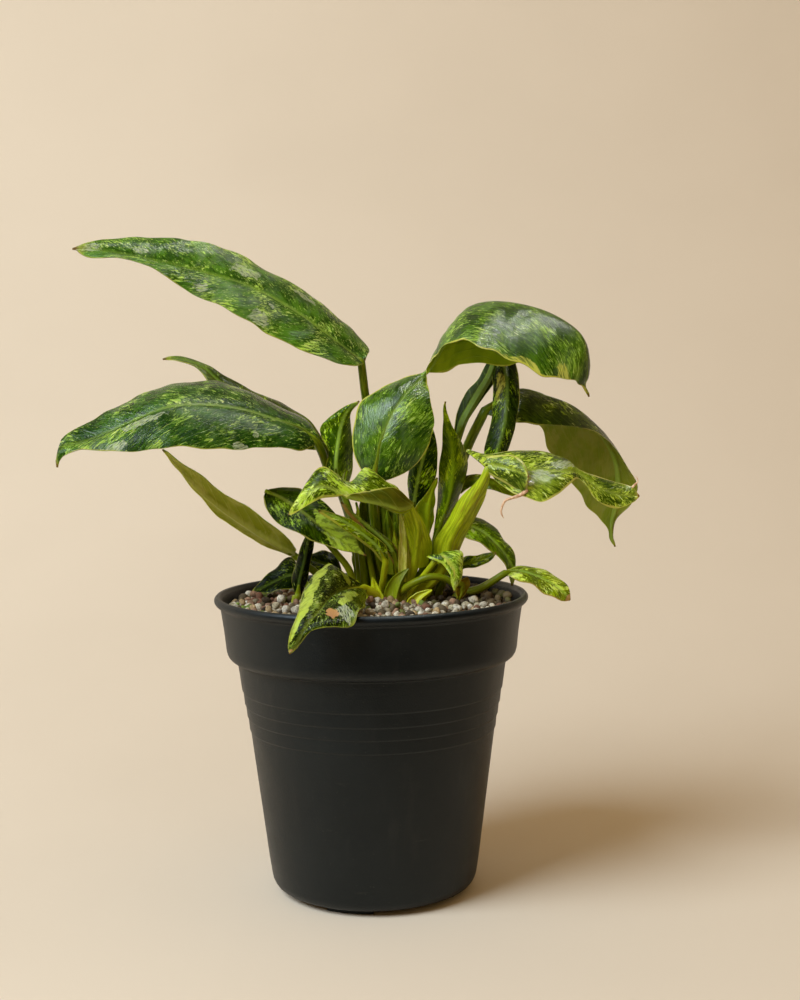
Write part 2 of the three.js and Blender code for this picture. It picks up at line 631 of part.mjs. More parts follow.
// A closed thin shell on both sides of a grid, its two faces split alike
function shell(grid, thickness) {
  const rowCount = grid.length;
  const columns = grid[0].length;
  const faces = [[], []];
  grid.forEach((row, i) => row.forEach((point, j) => {
    const along = grid[Math.min(i + 1, rowCount - 1)][j].clone().sub(grid[Math.max(i - 1, 0)][j]);
    const across = row[Math.min(j + 1, columns - 1)].clone().sub(row[Math.max(j - 1, 0)]);
    const normal = across.cross(along).normalize();
    faces[0].push(point.clone().addScaledVector(normal, thickness / 2));
    faces[1].push(point.clone().addScaledVector(normal, -thickness / 2));
  }));
  const under = rowCount * columns;
  const triangles = [];
  const split = (a, b, c) => triangles.push([a, b, c], [a + under, c + under, b + under]);
  for (let i = 0; i < rowCount - 1; i += 1) {
    for (let j = 0; j < columns - 1; j += 1) {
      const a = i * columns + j;
      split(a, a + 1, a + columns + 1);
      split(a, a + columns + 1, a + columns);
    }
  }
  const border = [];
  for (let j = 0; j < columns - 1; j += 1) border.push(j);
  for (let i = 0; i < rowCount - 1; i += 1) border.push(i * columns + columns - 1);
  for (let j = columns - 1; j > 0; j -= 1) border.push((rowCount - 1) * columns + j);
  for (let i = rowCount - 1; i > 0; i -= 1) border.push(i * columns);
  border.forEach((a, k) => {
    const b = border[(k + 1) % border.length];
    triangles.push([a, a + under, b + under], [a, b + under, b]);
  });
  return meshGeometry([...faces[0], ...faces[1]], triangles);
}

// A leaf's stalk, running on under the blade as its rib and thinning out there
function stalkRod(leaf, extra) {
  const [left, rib, right] = rails(leaf.rows);
  const ground = through(leaf.stalk);
  const steps = Math.max(4, Math.round(ground.getLength() / STALK_STEP));
  const points = ground.getPoints(steps);
  const [foot, top] = leaf.girth;
  const radii = points.map((_, i) => foot + ((top - foot) * i) / steps);
  for (let i = 1; i <= RIB_STEPS; i += 1) {
    const u = (RIB_SHARE * i) / RIB_STEPS;
    const across = right.getPoint(u).sub(left.getPoint(u));
    const normal = across.cross(rib.getTangent(u)).normalize();
    const radius = THREE.MathUtils.lerp(top, BLADE / 2, i / RIB_STEPS);
    points.push(rib.getPoint(u).addScaledVector(normal, -radius * RIB_SINK));
    radii.push(radius);
  }
  return rod(points, radii.map((radius) => radius + extra));
}

function halfWidth(rows) {
  const [left, rib, right] = rails(rows);
  const spots = [0.2, 0.35, 0.5, 0.65];
  return Math.max(...spots.map((u) => {
    const middle = rib.getPoint(u);
    return Math.max(left.getPoint(u).distanceTo(middle), right.getPoint(u).distanceTo(middle));
  }));
}

function bladeSolid(rows, curl, ruffle) {
  const length = rails(rows)[1].getLength();
  const rowCount = Math.min(MOST_ROWS, Math.max(FEWEST_ROWS, Math.round(length / ROW_LENGTH)));
  const halfColumns = halfWidth(rows) > BROAD_HALF ? 3 : 2;
  return toSolid(shell(bladeGrid(rows, rowCount, halfColumns, curl, ruffle), BLADE));
}

// A leaf in one piece: blade, stalk, and where it has them the stalk's wings and a turned-over lobe
function leafSolid(leaf) {
  const pieces = [
    bladeSolid(leaf.rows, leaf.curl ?? DEFAULT_CURL, leaf.ruffle ?? DEFAULT_RUFFLE),
    toSolid(stalkRod(leaf, 0)),
  ];
  [leaf.wing, leaf.flap].filter(Boolean).forEach((rows) => {
    pieces.push(bladeSolid(rows, DEFAULT_CURL, NO_RUFFLE));
  });
  return largest(joined(pieces));
}

// The pot's outside from the foot up to the rim, then its inside back down to the floor
function potProfile() {
  const outside = [
    [0, 0],
    [BOSS_RADIUS, 0],
    [BOSS_RADIUS + 0.6, FOOT_HEIGHT],
    [FOOT_RADIUS - FOOT_WIDTH - 0.4, FOOT_HEIGHT],
    [FOOT_RADIUS - FOOT_WIDTH, 0],
    [FOOT_RADIUS, 0],
    [FOOT_RADIUS + 0.3, FOOT_HEIGHT],
    [BODY_LOW_RADIUS - 4.8, FOOT_HEIGHT],
    [BODY_LOW_RADIUS - 2.6, FOOT_HEIGHT + 1],
    [BODY_LOW_RADIUS - 1.2, FOOT_HEIGHT + 3.4],
    [BODY_LOW_RADIUS, BODY_LOW_Z],
  ];
  RING_STEPS.forEach(([height, radius]) => {
    outside.push([radius, height], [radius + RING_STEP_DEPTH, height + 0.6]);
  });
  outside.push(
    [BODY_TOP_RADIUS, COLLAR_LOW_Z - 0.2],
    [COLLAR_RADIUS - 3, COLLAR_LOW_Z + 0.4],
    [COLLAR_RADIUS - 1.5, COLLAR_LOW_Z + 1.8],
    [COLLAR_RADIUS - 0.8, COLLAR_LOW_Z + 4],
    [COLLAR_RADIUS, COLLAR_LOW_Z + 12],
    [LIP_RADIUS - 2.5, POT_HEIGHT - 4.4],
    [LIP_RADIUS - 0.8, POT_HEIGHT - 3.4],
    [LIP_RADIUS, POT_HEIGHT - 2.2],
    [LIP_RADIUS - 0.1, POT_HEIGHT - 1],
    [RIM_TOP_RADIUS, POT_HEIGHT],
  );
  const inside = [
    [RIM_TOP_RADIUS - WALL, POT_HEIGHT],
    [COLLAR_RADIUS - 0.4, POT_HEIGHT - 6],
    [COLLAR_RADIUS - WALL - 1.2, COLLAR_LOW_Z + 3.4],
    [BODY_TOP_RADIUS - WALL - 0.3, COLLAR_LOW_Z - 2.4],
    [BODY_LOW_RADIUS - WALL, BODY_LOW_Z],
    [BODY_LOW_RADIUS - WALL - 1.6, FOOT_HEIGHT + WALL],
    [0, FOOT_HEIGHT + WALL],
  ];
  return { outside, inside };
}

// A wedge of a ring, used to cut the gaps between the feet
function ringWedge(inner, outer, low, high, from, span) {
  const shape = new THREE.Shape();
  shape.absarc(0, 0, outer, from, from + span, false);
  shape.absarc(0, 0, inner, from + span, from, true);
  const geometry = new THREE.ExtrudeGeometry(shape, { depth: high - low, bevelEnabled: false, curveSegments: 6 });
  return geometry.translate(0, 0, low);
}

function potSolid() {
  const { outside, inside } = potProfile();
  let pot = toSolid(turned([...outside, ...inside]));
  const pitch = (2 * Math.PI) / FOOT_COUNT;
  const footSpan = THREE.MathUtils.degToRad(FOOT_SPAN);
  const firstFoot = THREE.MathUtils.degToRad(FIRST_FOOT_ANGLE);
  for (let i = 0; i < FOOT_COUNT; i += 1) {
    const gapStart = firstFoot + footSpan / 2 + i * pitch;
    const inner = FOOT_RADIUS - FOOT_WIDTH - 2;
    const gap = ringWedge(inner, FOOT_RADIUS + 2, -1, FOOT_HEIGHT - 0.1, gapStart, pitch - footSpan);
    pot = pot.subtract(toSolid(gap));
  }
  for (let i = 0; i < DRAIN_COUNT; i += 1) {
    const angle = ((i + 0.5) * 2 * Math.PI) / DRAIN_COUNT;
    const drain = new THREE.CylinderGeometry(DRAIN_RADIUS, DRAIN_RADIUS, 3 * FOOT_HEIGHT + 2 * WALL, 10);
    drain.rotateX(Math.PI / 2);
    drain.translate(DRAIN_CIRCLE * Math.cos(angle), DRAIN_CIRCLE * Math.sin(angle), FOOT_HEIGHT);
    pot = pot.subtract(toSolid(drain));
  }
  return pot;
}

// The short crown that all stalks spring from, buried under the grit
function crownDome(extra) {
  const radius = CROWN_RADIUS + extra;
  const profile = [
    [0, CROWN_LOW - extra],
    [radius * 0.7, CROWN_LOW - extra],
    [radius, CROWN_LOW + 3],
    [radius, CROWN_TOP - 2.5],
    [radius * 0.8, CROWN_TOP + extra],
    [0, CROWN_TOP + extra],
  ];
  return turned(profile, 16).translate(CROWN_CENTRE[0], CROWN_CENTRE[1], 0);
}

function crownSolid(extra) {
  const spears = SPEARS.map((spear) => toSolid(spearRod(spear, extra)));
  return joined([toSolid(crownDome(extra)), ...spears]);
}

function soilSolid(crownRoom) {
  const { inside } = potProfile();
  const wall = inside.slice(3, 6).map(([radius, height]) => [radius - 2 * CLEAR, height]);
  const topRadius = inside[2][0] - 2 * CLEAR;
  const fill = [
    [0, SOIL_TOP],
    [topRadius, SOIL_TOP],
    ...wall,
    [0, FOOT_HEIGHT + WALL + CLEAR],
  ];
  fill[fill.length - 2][1] += CLEAR;
  return toSolid(turned(fill.reverse())).subtract(crownRoom);
}

// A disc of grit: its top is a lattice in which every third point is the top of a pebble
function gritDisc() {
  const draw = seededDraw(7);
  const points = [new THREE.Vector3(0, 0, GRIT_TOP + PEBBLE_RISE)];
  const ringStart = [0];
  const pitch = GRIT_RADIUS / GRIT_RINGS;
  for (let ring = 1; ring <= GRIT_RINGS; ring += 1) {
    ringStart.push(points.length);
    for (let i = 0; i < 6 * ring; i += 1) {
      const isTop = (ring + (i % ring)) % 3 === 0;
      const edge = ring === GRIT_RINGS;
      const angle = (Math.PI / 3) * (i / ring);
      const scatter = edge ? 0 : PEBBLE_SCATTER;
      const rise = edge ? PEBBLE_DIP : (isTop ? PEBBLE_RISE : PEBBLE_DIP) + draw() * PEBBLE_SCATTER;
      const x = pitch * ring * Math.cos(angle) + draw() * scatter;
      const y = pitch * ring * Math.sin(angle) + draw() * scatter;
      points.push(new THREE.Vector3(x, y, GRIT_TOP + rise));
    }
  }
  const triangles = [];
  for (let ring = 1; ring <= GRIT_RINGS; ring += 1) {
    const outer = (i) => ringStart[ring] + (i % (6 * ring));
    const inner = (i) => (ring === 1 ? 0 : ringStart[ring - 1] + (i % (6 * (ring - 1))));
    for (let sector = 0; sector < 6; sector += 1) {
      for (let i = 0; i < ring; i += 1) {
        const out = sector * ring + i;
        const into = sector * (ring - 1) + i;
        triangles.push([inner(into), outer(out), outer(out + 1)]);
        if (i < ring - 1) triangles.push([inner(into), outer(out + 1), inner(into + 1)]);
      }
    }
  }
  const rimStart = ringStart[GRIT_RINGS];
  const rimCount = 6 * GRIT_RINGS;
  const low = points.length;
  for (let i = 0; i < rimCount; i += 1) {
    const foot = points[rimStart + i].clone().multiplyScalar(GRIT_LOW_RADIUS / GRIT_RADIUS);
    points.push(foot.setZ(SOIL_TOP + CLEAR));
  }
  const centre = points.push(new THREE.Vector3(0, 0, SOIL_TOP + CLEAR)) - 1;
  for (let i = 0; i < rimCount; i += 1) {
    const next = (i + 1) % rimCount;
    triangles.push(
      [rimStart + i, low + i, low + next],
      [rimStart + i, low + next, rimStart + next],
      [centre, low + next, low + i],
    );
  }
  return meshGeometry(points, triangles);
}

const group = new THREE.Group();

function place(name, solid, colour, roughness) {
  const material = new THREE.MeshStandardMaterial({ color: colour, roughness, metalness: 0 });
  const mesh = new THREE.Mesh(toGeometry(solid), material);
  mesh.name = name;
  group.add(mesh);
}

const crownRoom = crownSolid(CLEAR);
const stalkRooms = LEAVES.map((leaf) => toSolid(stalkRod(leaf, CLEAR)));
place("pot", potSolid(), COLOURS.plastic, 0.55);
place("potting_mix", soilSolid(crownRoom), COLOURS.soil, 0.95);
place("grit", toSolid(gritDisc()).subtract(joined([crownRoom, ...stalkRooms])), COLOURS.grit, 0.9);
place("crown", crownSolid(0), COLOURS.crown, 0.5);
LEAVES.forEach((leaf) => {
  place(leaf.name, leafSolid(leaf), COLOURS[leaf.colour ?? "dark"], 0.4);
});

export default group;
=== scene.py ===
import math

import bpy
import mathutils
import numpy as np
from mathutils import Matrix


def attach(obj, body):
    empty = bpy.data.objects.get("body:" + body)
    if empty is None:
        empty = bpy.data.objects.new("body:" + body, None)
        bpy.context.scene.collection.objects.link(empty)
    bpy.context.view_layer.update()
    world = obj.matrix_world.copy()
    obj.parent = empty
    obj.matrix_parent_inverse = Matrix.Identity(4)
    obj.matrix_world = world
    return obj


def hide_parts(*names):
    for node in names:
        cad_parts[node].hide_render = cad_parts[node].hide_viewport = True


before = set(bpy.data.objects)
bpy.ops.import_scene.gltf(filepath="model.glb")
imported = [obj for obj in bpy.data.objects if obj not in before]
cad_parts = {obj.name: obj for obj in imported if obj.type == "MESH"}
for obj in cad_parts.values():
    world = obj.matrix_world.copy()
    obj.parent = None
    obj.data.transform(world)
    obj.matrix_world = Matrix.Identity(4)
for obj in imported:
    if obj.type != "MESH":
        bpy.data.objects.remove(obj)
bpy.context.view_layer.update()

# A potted variegated philodendron in a black nursery pot. Lengths in this script's tables are in
# millimetres, in the frame of the solid model, and MM turns them into metres.
MM = 0.001

# The camera stands in front of the pot and looks slightly down
CAMERA_PLACE = (0.0, -600.0, 210.55)
CAMERA_DOWN = 0.0793218
CAMERA_TO_RIGHT = 0.0206215
CAMERA_ROLL = -0.0107114
CAMERA_LENS = 52.12
CAMERA_SENSOR = 36.0

# The pot
POT_HEIGHT = 124.4
LIP_RADIUS = 65.3
RIM_TOP_RADIUS = 64.3
COLLAR_RADIUS = 61.3
COLLAR_LOW_Z = 97.8
BODY_TOP_RADIUS = 56.1
BODY_LOW_RADIUS = 44.1
BODY_LOW_Z = 13.0
FOOT_RADIUS = 37.4
FOOT_WIDTH = 4.0
FOOT_HEIGHT = 2.0
WALL = 1.5
RING_STEPS = [(68.1, 51.1), (73.6, 52.0), (78.8, 52.95), (84.6, 53.95)]
RING_STEP_DEPTH = 0.45
FOOT_COUNT = 4
FOOT_SPAN = math.radians(30)
FIRST_FOOT_ANGLE = math.radians(-106)
BOSS_RADIUS = 9.0
DRAIN_COUNT = 6
DRAIN_RADIUS = 4.0
DRAIN_CIRCLE = 27.0
POT_SIDES = 144

# What fills the pot
SOIL_TOP = 107.0
GRIT_TOP = 119.3
GRIT_RADIUS = 60.0
CROWN_CENTRE = (8.0, 12.0)
CROWN_RADIUS = 13.0
CROWN_LOW = 100.0
CROWN_TOP = 109.8

# Young rolled leaves that rise from the crown: points, then the girth at each
SPEARS = [
    ([(3, 11.5, 108), (1.5, 11.5, 125), (-2.5, 12.5, 145), (-6, 12.5, 161)], (1.5, 1.4, 1.0, 0.5)),
    ([(11, 13.5, 108), (12, 13, 122), (10.5, 12, 138), (8.5, 10, 151)], (1.4, 1.5, 1.1, 0.5)),
    ([(12, 12.8, 108), (13.5, 11.5, 124), (12.5, 10, 142), (11, 8, 158)], (1.2, 1.6, 1.4, 0.5)),
]

# Each leaf: its name and tone, the girth of its stalk at the two ends, the stalk from the foot up to
# the blade, and rows across the blade from base to tip, each as left margin, rib and right margin.
# Left and right are as seen on the upper face with the tip away from the eye. They are the solid
# model's own numbers.
LEAVES = [
    ("leaf_upper_left", "dark", (1.9, 1.7), [
        (2, 27, 111), (3, 27, 122), (0.5, 22, 161), (0, 14, 191.5), (-2, 8, 210.5), (-3, 6, 220),
    ], [
        (-2, 5, 219.5, -3, 6, 220.5, -1, 7, 222), (-7, -2, 218.5, -7.5, 5, 224, -0.5, 14, 226.5),
        (-19, -8, 222, -17.5, 2, 232, -9.5, 14, 237), (-37, -11, 230, -31, -1, 242, -23.5, 12, 247.5),
        (-54, -14, 239.5, -47.5, -4, 251, -38, 8, 257), (-71, -16, 249, -63.5, -7, 256, -54.5, 4, 266),
        (-86.5, -17, 258.5, -80, -10, 260, -72, -1, 270), (-101.5, -17, 262, -97, -12, 263.5, -90, -5, 271),
        (-111, -16, 262.5, -108.5, -13, 265.5, -106, -10, 270),
        (-116.5, -14.5, 265.5, -117.5, -14, 266, -117, -13.5, 267),
    ]),
    ("leaf_left", "dark", (2, 1.8), [
        (-4, 21, 111), (-4, 20, 122), (-6, 17, 144.5), (-11.5, 14, 163.5), (-17, 9, 174.5), (-20, 1, 183.5),
        (-22, -4, 188),
    ], [
        (-23, -5, 186, -22, -4, 188.5, -21.5, -3, 191),
        (-28.5, -12, 184.5, -28.5, -6, 193.5, -26.5, 3, 196.5),
        (-39, -17, 186.5, -38, -9, 197, -36, 5, 201.5), (-51.5, -21, 185.5, -52, -12, 201.5, -50, 4, 208.5),
        (-67, -25, 186.5, -67, -15, 203.5, -65, 2, 212.5),
        (-82.5, -27, 186.5, -81, -18, 202.5, -81, -1, 212),
        (-99, -28, 186, -96, -20, 196.5, -96.5, -6, 205.5),
        (-112.5, -27, 186.5, -111, -22, 190, -110.5, -13, 197.5),
        (-120, -26, 184.5, -121, -24, 187.5, -121, -20, 192),
        (-122.5, -26, 182.5, -123, -25, 184.5, -123, -24, 187.5),
        (-123, -26, 179.5, -123.5, -26, 179.5, -124.5, -26, 180),
    ]),
    ("leaf_left_behind", "dark", (1.8, 1.6), [
        (-5, 28, 111), (-5, 28, 122), (-8, 22, 148.5), (-14.5, 16, 170.5), (-19.5, 11, 185),
    ], [
        (-20.5, 9, 183.5, -19.5, 11, 185, -19, 13, 187), (-29, 7, 184.5, -28, 12, 192, -25, 18, 195),
        (-42.5, 7, 191.5, -39, 13, 199.5, -36, 20, 203),
        (-55.5, 8, 201, -51.5, 14, 205.5, -47.5, 20, 207.5),
        (-65.5, 11, 211, -63, 15, 212.5, -58.5, 19, 213.5), (-72, 14, 218, -70.5, 16, 219, -68, 18, 219.5),
        (-80.5, 16, 221.5, -79.5, 16.5, 222.5, -78.5, 17, 223.5),
        (-86, 17, 222, -87, 17, 222.5, -86, 17, 223.5),
    ]),
    ("leaf_lower_left", "dark", (1.7, 1.4), [
        (-11, 20, 111), (-11, 20, 122), (-17.5, 14, 126), (-26, 12, 133.5), (-32.5, 11, 139),
    ], [
        (-31.5, 10, 141.5, -32.5, 11, 139.5, -34.5, 12, 138.5),
        (-35.5, 5, 148, -38.5, 9, 143.5, -42, 14, 141.5), (-45, 1, 156, -49, 7, 150.5, -53.5, 13, 147.5),
        (-57, -2, 164.5, -60.5, 4, 159, -65, 10, 157), (-68, -4, 173, -71.5, 2, 168.5, -75.5, 7, 169.5),
        (-77.5, -3, 179.5, -79.5, 0, 178, -81.5, 3, 179),
        (-84.5, -0.5, 185, -85.5, 0, 185, -85.5, 0.5, 184),
    ]),
    ("leaf_twisted_right", "dark", (2, 1.8), [
        (8, 14, 111), (8, 13, 122), (4, 9, 136.5), (1.5, 3, 154.5), (1, -9, 170.5),
    ], [
        (-1, -8, 172, 1, -9, 171, 3, -9, 170.5), (-6.5, -6, 182, 3, -11, 180, 17, -9, 176),
        (-6.5, -4, 192.5, 4.5, -12, 187.5, 24, -10, 186), (-3, -2, 203.5, 9.5, -11, 198.5, 26, -10, 196),
        (8, 0, 211, 15, -8, 206.5, 25, -7, 206), (21, 1, 215, 22.5, -1, 214.5, 24, 0, 212.5),
        (31.5, 5, 215.5, 30, 0, 226.5, 26.5, -6, 222), (41.5, 7, 219, 39, 2, 240, 33, -13, 227.5),
        (52, 7, 219.5, 48.5, 3, 244.5, 42, -19, 227.5), (65.5, 7, 218.5, 62.5, 1, 243.5, 53, -22, 221),
        (79.5, 4, 219.5, 76.5, -3, 238.5, 68.5, -22, 214.5),
        (89, 0, 217.5, 87.5, -7, 229.5, 80.5, -18, 212), (90, -6, 212.5, 88.5, -11, 217.5, 85, -14, 210),
        (88.5, -9, 209.5, 88, -10, 209.5, 87, -11, 209), (91, -8, 205, 90, -8, 205, 89.5, -8, 205),
    ]),
    ("leaf_upright_left", "dark", (1.6, 1.4), [
        (-2.5, 15.5, 111), (-2.5, 15, 122), (-4.5, 9, 143), (-8.5, 5, 157.5), (-12, 5, 167.5),
    ], [
        (-14, 4, 168, -12, 5, 167, -10, 7, 167), (-18, 2, 175.5, -14, 0, 175.5, -7.5, 8, 174.5),
        (-17, 3, 183, -13.5, 0, 184, -7, 8, 183.5), (-20, 4, 189.5, -12, 1, 193, -7.5, 6, 192),
        (-19.5, 2, 194.5, -10, 1, 199, -8, 3, 198), (-11.5, 2, 201, -7.5, 1, 202, -6.5, 2, 201),
        (-5, 1, 204, -4, 1, 204, -3.5, 1, 203.5),
    ]),
    ("leaf_upright_right", "dark", (1.6, 1.4), [
        (13, 18, 111), (13, 18, 122), (16.5, 12, 138.5), (18, 5, 155),
    ], [
        (17, 6, 155, 18, 5, 155, 19, 6, 155), (16.5, 8, 162, 18.5, 4, 162.5, 22.5, 6, 162),
        (16, 9, 170.5, 20, 4, 171, 27.5, 7, 171.5), (18, 9, 181, 22.5, 4, 181, 28.5, 7, 181),
        (21, 7, 188.5, 24.5, 4, 189, 27.5, 6, 188.5), (24, 5, 193.5, 25, 4, 194, 26, 5, 193.5),
    ]),
    ("leaf_spear", "olive", (1.8, 1.6), [
        (19, 13, 111), (20, 12, 122), (26, 7, 132.5), (27.5, 4, 145),
    ], [
        (26, 5, 145.5, 27.5, 4, 144.5, 29, 5, 146), (27.5, 5, 154.5, 30, 1, 154, 32, 4, 154.5),
        (28.5, 6, 165.5, 33, -1, 164.5, 37.5, 5, 164.5), (29, 6, 175.5, 34.5, -1, 176, 41, 6, 175.5),
        (30.5, 3, 185, 34, -1, 185, 39, 4, 185), (30.5, 0, 194, 32, -1, 194, 34.5, 1, 192.5),
        (30.5, -2, 200, 31, -2, 200, 32, -1, 199.5), (31, -3, 203.5, 31.5, -3, 203.5, 31.5, -3, 203),
    ]),
    ("leaf_olive_inner", "olive", (1.5, 1.3), [
        (18, 18, 111), (18, 17, 122), (22.5, 9, 134.5), (23, 5, 143.5),
    ], [
        (23.5, 6, 143, 23, 5, 143, 21.5, 4, 143.5), (26.5, 6, 153, 23.5, 3, 153, 20, 0, 154.5),
        (27, 5, 160, 24, 1, 160.5, 18.5, -2, 159), (27.5, 3, 166, 25.5, 0, 167, 22.5, -2, 164),
        (28.5, 1, 171.5, 28, 0, 172, 27, -1, 171),
    ]),
    ("leaf_arched_right", "dark", (1.9, 1.6), [
        (17, 24, 111), (17, 23, 122), (25.5, 18, 135.5), (31.5, 13, 161.5), (37, 11, 187),
    ], [
        (38, 11, 189, 37, 11, 187, 35.5, 11, 189.5), (43, 14, 197, 40, 11, 195.5, 37, 13, 198),
        (49.5, 17, 206, 45.5, 13, 204.5, 41, 16, 206.5), (56, 19, 214.5, 51, 15, 213.5, 46.5, 18, 212.5),
        (60.5, 18, 223, 55.5, 15, 224, 51.5, 18, 220.5), (62.5, 11, 215.5, 57.5, 9, 215.5, 52.5, 13, 212),
        (63, 7, 204.5, 57.5, 4, 205.5, 52, 8, 203), (61, 4, 193.5, 56, 1, 193.5, 50.5, 5, 192.5),
        (58, 3, 184, 53, 0, 182.5, 48, 4, 183), (53.5, 3, 175.5, 51.5, 2, 173.5, 50, 4, 175.5),
    ]),
    ("leaf_right", "dark", (2.3, 2.1), [
        (24, 26, 111), (25, 26, 122), (33.5, 23, 156.5), (41, 19, 181.5), (49, 15, 199),
    ], [
        (48, 17, 200.5, 49, 15, 199, 50, 14, 197.5), (61, 25, 197.5, 63, 20, 208, 61.5, 9, 195),
        (74.5, 33, 192, 78, 26, 205, 74.5, 13, 193), (79, 38, 180.5, 90, 30, 200, 89, 18, 191.5),
        (85, 41, 172, 100, 33, 191, 102, 22, 186), (91.5, 42, 163.5, 107, 34, 180.5, 110.5, 26, 176.5),
        (98, 41, 155, 109.5, 35, 168.5, 116.5, 29, 165.5), (103, 39, 149, 108.5, 36, 156.5, 114.5, 33, 157),
        (105.5, 38, 145, 107, 37, 149, 109, 36, 150.5), (106, 37.5, 141.5, 107, 37, 142, 107.5, 37, 143),
        (108, 37.5, 138, 108.5, 37, 138, 109, 37, 138.5),
    ]),
    ("leaf_yellow_right", "lime", (2.2, 1.7), [
        (18, 6, 111), (19, 5, 122), (29, 0, 132.5), (33, -4, 146.5), (39, -8, 158), (44.5, -11, 168),
        (48.5, -12, 176.5),
    ], [
        (47, -11, 177, 48, -12, 176, 49.5, -12, 174.5), (39, -7, 184, 49.5, -13, 177, 51.5, -16, 171),
        (48.5, -5, 181.5, 55, -14, 177, 56.5, -19, 167.5),
        (58.5, -5, 183.5, 61.5, -16, 176, 61.5, -22, 165), (67.5, -5, 183, 69, -17, 175.5, 68, -24, 163.5),
        (75.5, -7, 181.5, 76, -17, 175, 75, -23, 166.5), (81.5, -9, 179, 81, -15, 175, 81.5, -19, 171),
        (85.5, -12, 175.5, 85, -13, 173.5, 85, -15, 171.5), (93.5, -9, 172, 93, -13, 168, 91.5, -16, 163),
        (102, -8, 169.5, 101, -12, 165, 99.5, -14, 159.5),
        (107.5, -9, 167.5, 108, -10, 164, 107, -12, 161.5), (110, -9, 165, 110.5, -9, 164, 110, -10, 163),
    ]),
    ("leaf_small_tip", "olive", (1.2, 1), [
        (25, 12.5, 111), (25, 12.5, 122), (32, 11, 144.5), (37, 10, 165),
    ], [
        (36.5, 10, 166.5, 37, 10, 165, 38.5, 10, 164.5), (40.5, 11, 172, 41.5, 9, 170, 42.5, 8, 167.5),
        (48, 10, 172, 48, 8, 170, 47, 6, 167), (55, 8, 169, 54.5, 7, 167.5, 53, 5, 165.5),
        (61.5, 5.5, 164, 61.5, 5, 163.5, 61, 5, 163),
    ]),
    ("leaf_strap_right", "dark", (1.6, 1.4), [
        (29, 18, 111), (29, 18, 122), (32.5, 15, 131.5), (36, 12, 144.5), (38.5, 12, 149),
    ], [
        (39, 14, 151, 38.5, 12, 149, 38.5, 10, 146.5), (43.5, 18, 153.5, 42.5, 13, 150, 41, 9, 145.5),
        (50, 20, 151.5, 48, 13, 147.5, 46, 8, 143.5), (56, 20, 145.5, 53.5, 13, 142.5, 51.5, 8, 139.5),
        (61, 18, 139, 58, 13, 136.5, 56, 8, 135), (62, 15, 132.5, 60, 12, 131.5, 58, 10, 131),
        (61, 13, 125, 60, 12, 124.5, 59.5, 11, 125.5),
    ]),
    ("leaf_low_right", "dark", (1.6, 1.4), [
        (36, 8, 111), (36, 8, 121), (46, 6, 124.5), (56.5, 5, 131),
    ], [
        (57, 6, 132, 57, 5, 131, 57.5, 4, 130), (64, 10, 133.5, 63, 6, 131.5, 61.5, 1, 128.5),
        (72.5, 12, 131.5, 70.5, 6, 129, 68, 0, 126), (79.5, 11, 128, 77.5, 6, 125, 74.5, 0, 122.5),
        (83.5, 9, 124, 81.5, 6, 121.5, 79.5, 2, 119.5), (84.5, 7, 120, 84, 6, 119, 83, 5, 118.5),
    ]),
    ("leaf_thin_right", "olive", (1.2, 1.1), [
        (28.5, 12, 111), (28.5, 12, 121), (30.5, 7, 126.5), (31.5, 6, 130.5),
    ], [
        (31.5, 6, 131.5, 31.5, 6, 130.5, 32, 5, 129), (38.5, 7, 137, 38.5, 5, 134.5, 39, 3, 133),
        (46, 5, 139, 46, 4, 137, 46.5, 2, 135), (52.5, 3, 140.5, 52.5, 3, 140, 52.5, 2, 138.5),
    ]),
    ("leaf_small_bright", "lime", (1.3, 1.2), [
        (14, 2, 111), (14, 1.5, 121), (21, -1, 130), (26.5, -4, 137.5),
    ], [
        (27, -3, 138.5, 26.5, -3.5, 138, 25.5, -4, 138), (32, -5, 142, 29, -9, 140.5, 23, -9, 140),
        (37.5, -5, 141.5, 32, -11, 138.5, 29, -11, 137),
        (38, -8, 136.5, 34.5, -12, 134.5, 31.5, -12, 133.5),
        (36.5, -11, 130.5, 34.5, -13, 130, 32.5, -13, 130.5),
        (34, -13, 126, 34, -13, 126, 33.5, -13, 126.5),
    ]),
    ("leaf_brown_low", "olive", (1.5, 1.3), [
        (10, 1.5, 111), (10, 1, 121), (16, -6, 128), (24, -8, 131.5), (31, -7, 130.5), (34, -6, 128),
    ], [
        (33.5, -6, 127.5, 34, -6, 128, 35.5, -6, 129), (35, -7, 125, 37.5, -5, 127.5, 40.5, -3, 130.5),
        (35, -7, 122, 37, -5, 123.5, 40, -4, 125.5), (35, -7, 120.5, 35.5, -7, 120.5, 36, -6, 120.5),
    ]),
    ("leaf_front", "lime", (1.8, 1.6), [
        (4, 1, 111), (4, 0, 121), (1, -4, 124.5), (-3, -7, 127),
    ], [
        (-2, -7, 126.5, -3, -7, 127, -4, -7, 128.5), (-2, -20, 125.5, -7, -20, 129, -10, -16, 134),
        (-2.5, -44, 125.5, -12.5, -38, 130.5, -16.5, -26, 139.5),
        (-4, -65, 126.5, -16.5, -54, 129.5, -23, -38, 136),
        (-7.5, -70, 122, -20, -66, 126.5, -26.5, -54, 130.5),
        (-15.5, -73, 122, -23, -71, 124, -27.5, -67, 125.5),
        (-22.5, -73, 120.5, -26, -73, 119, -30, -71, 119.5),
        (-27.5, -72, 114.5, -28.5, -72, 114.5, -31, -71, 115),
        (-30, -71, 112, -30.5, -71, 112, -30.5, -71, 112.5),
    ]),
    ("leaf_mid_left", "lime", (1.5, 1.2), [
        (-7, 13, 111), (-7, 13, 121), (-9, 9, 132), (-15, 8, 140.5), (-25.5, 6, 152.5), (-36.5, 2, 163.5),
        (-43, -1, 167),
    ], [
        (-41.5, 0, 168, -43, -1, 167, -44, -2, 165), (-34, 2, 168.5, -37, -3, 164.5, -42.5, -6, 160),
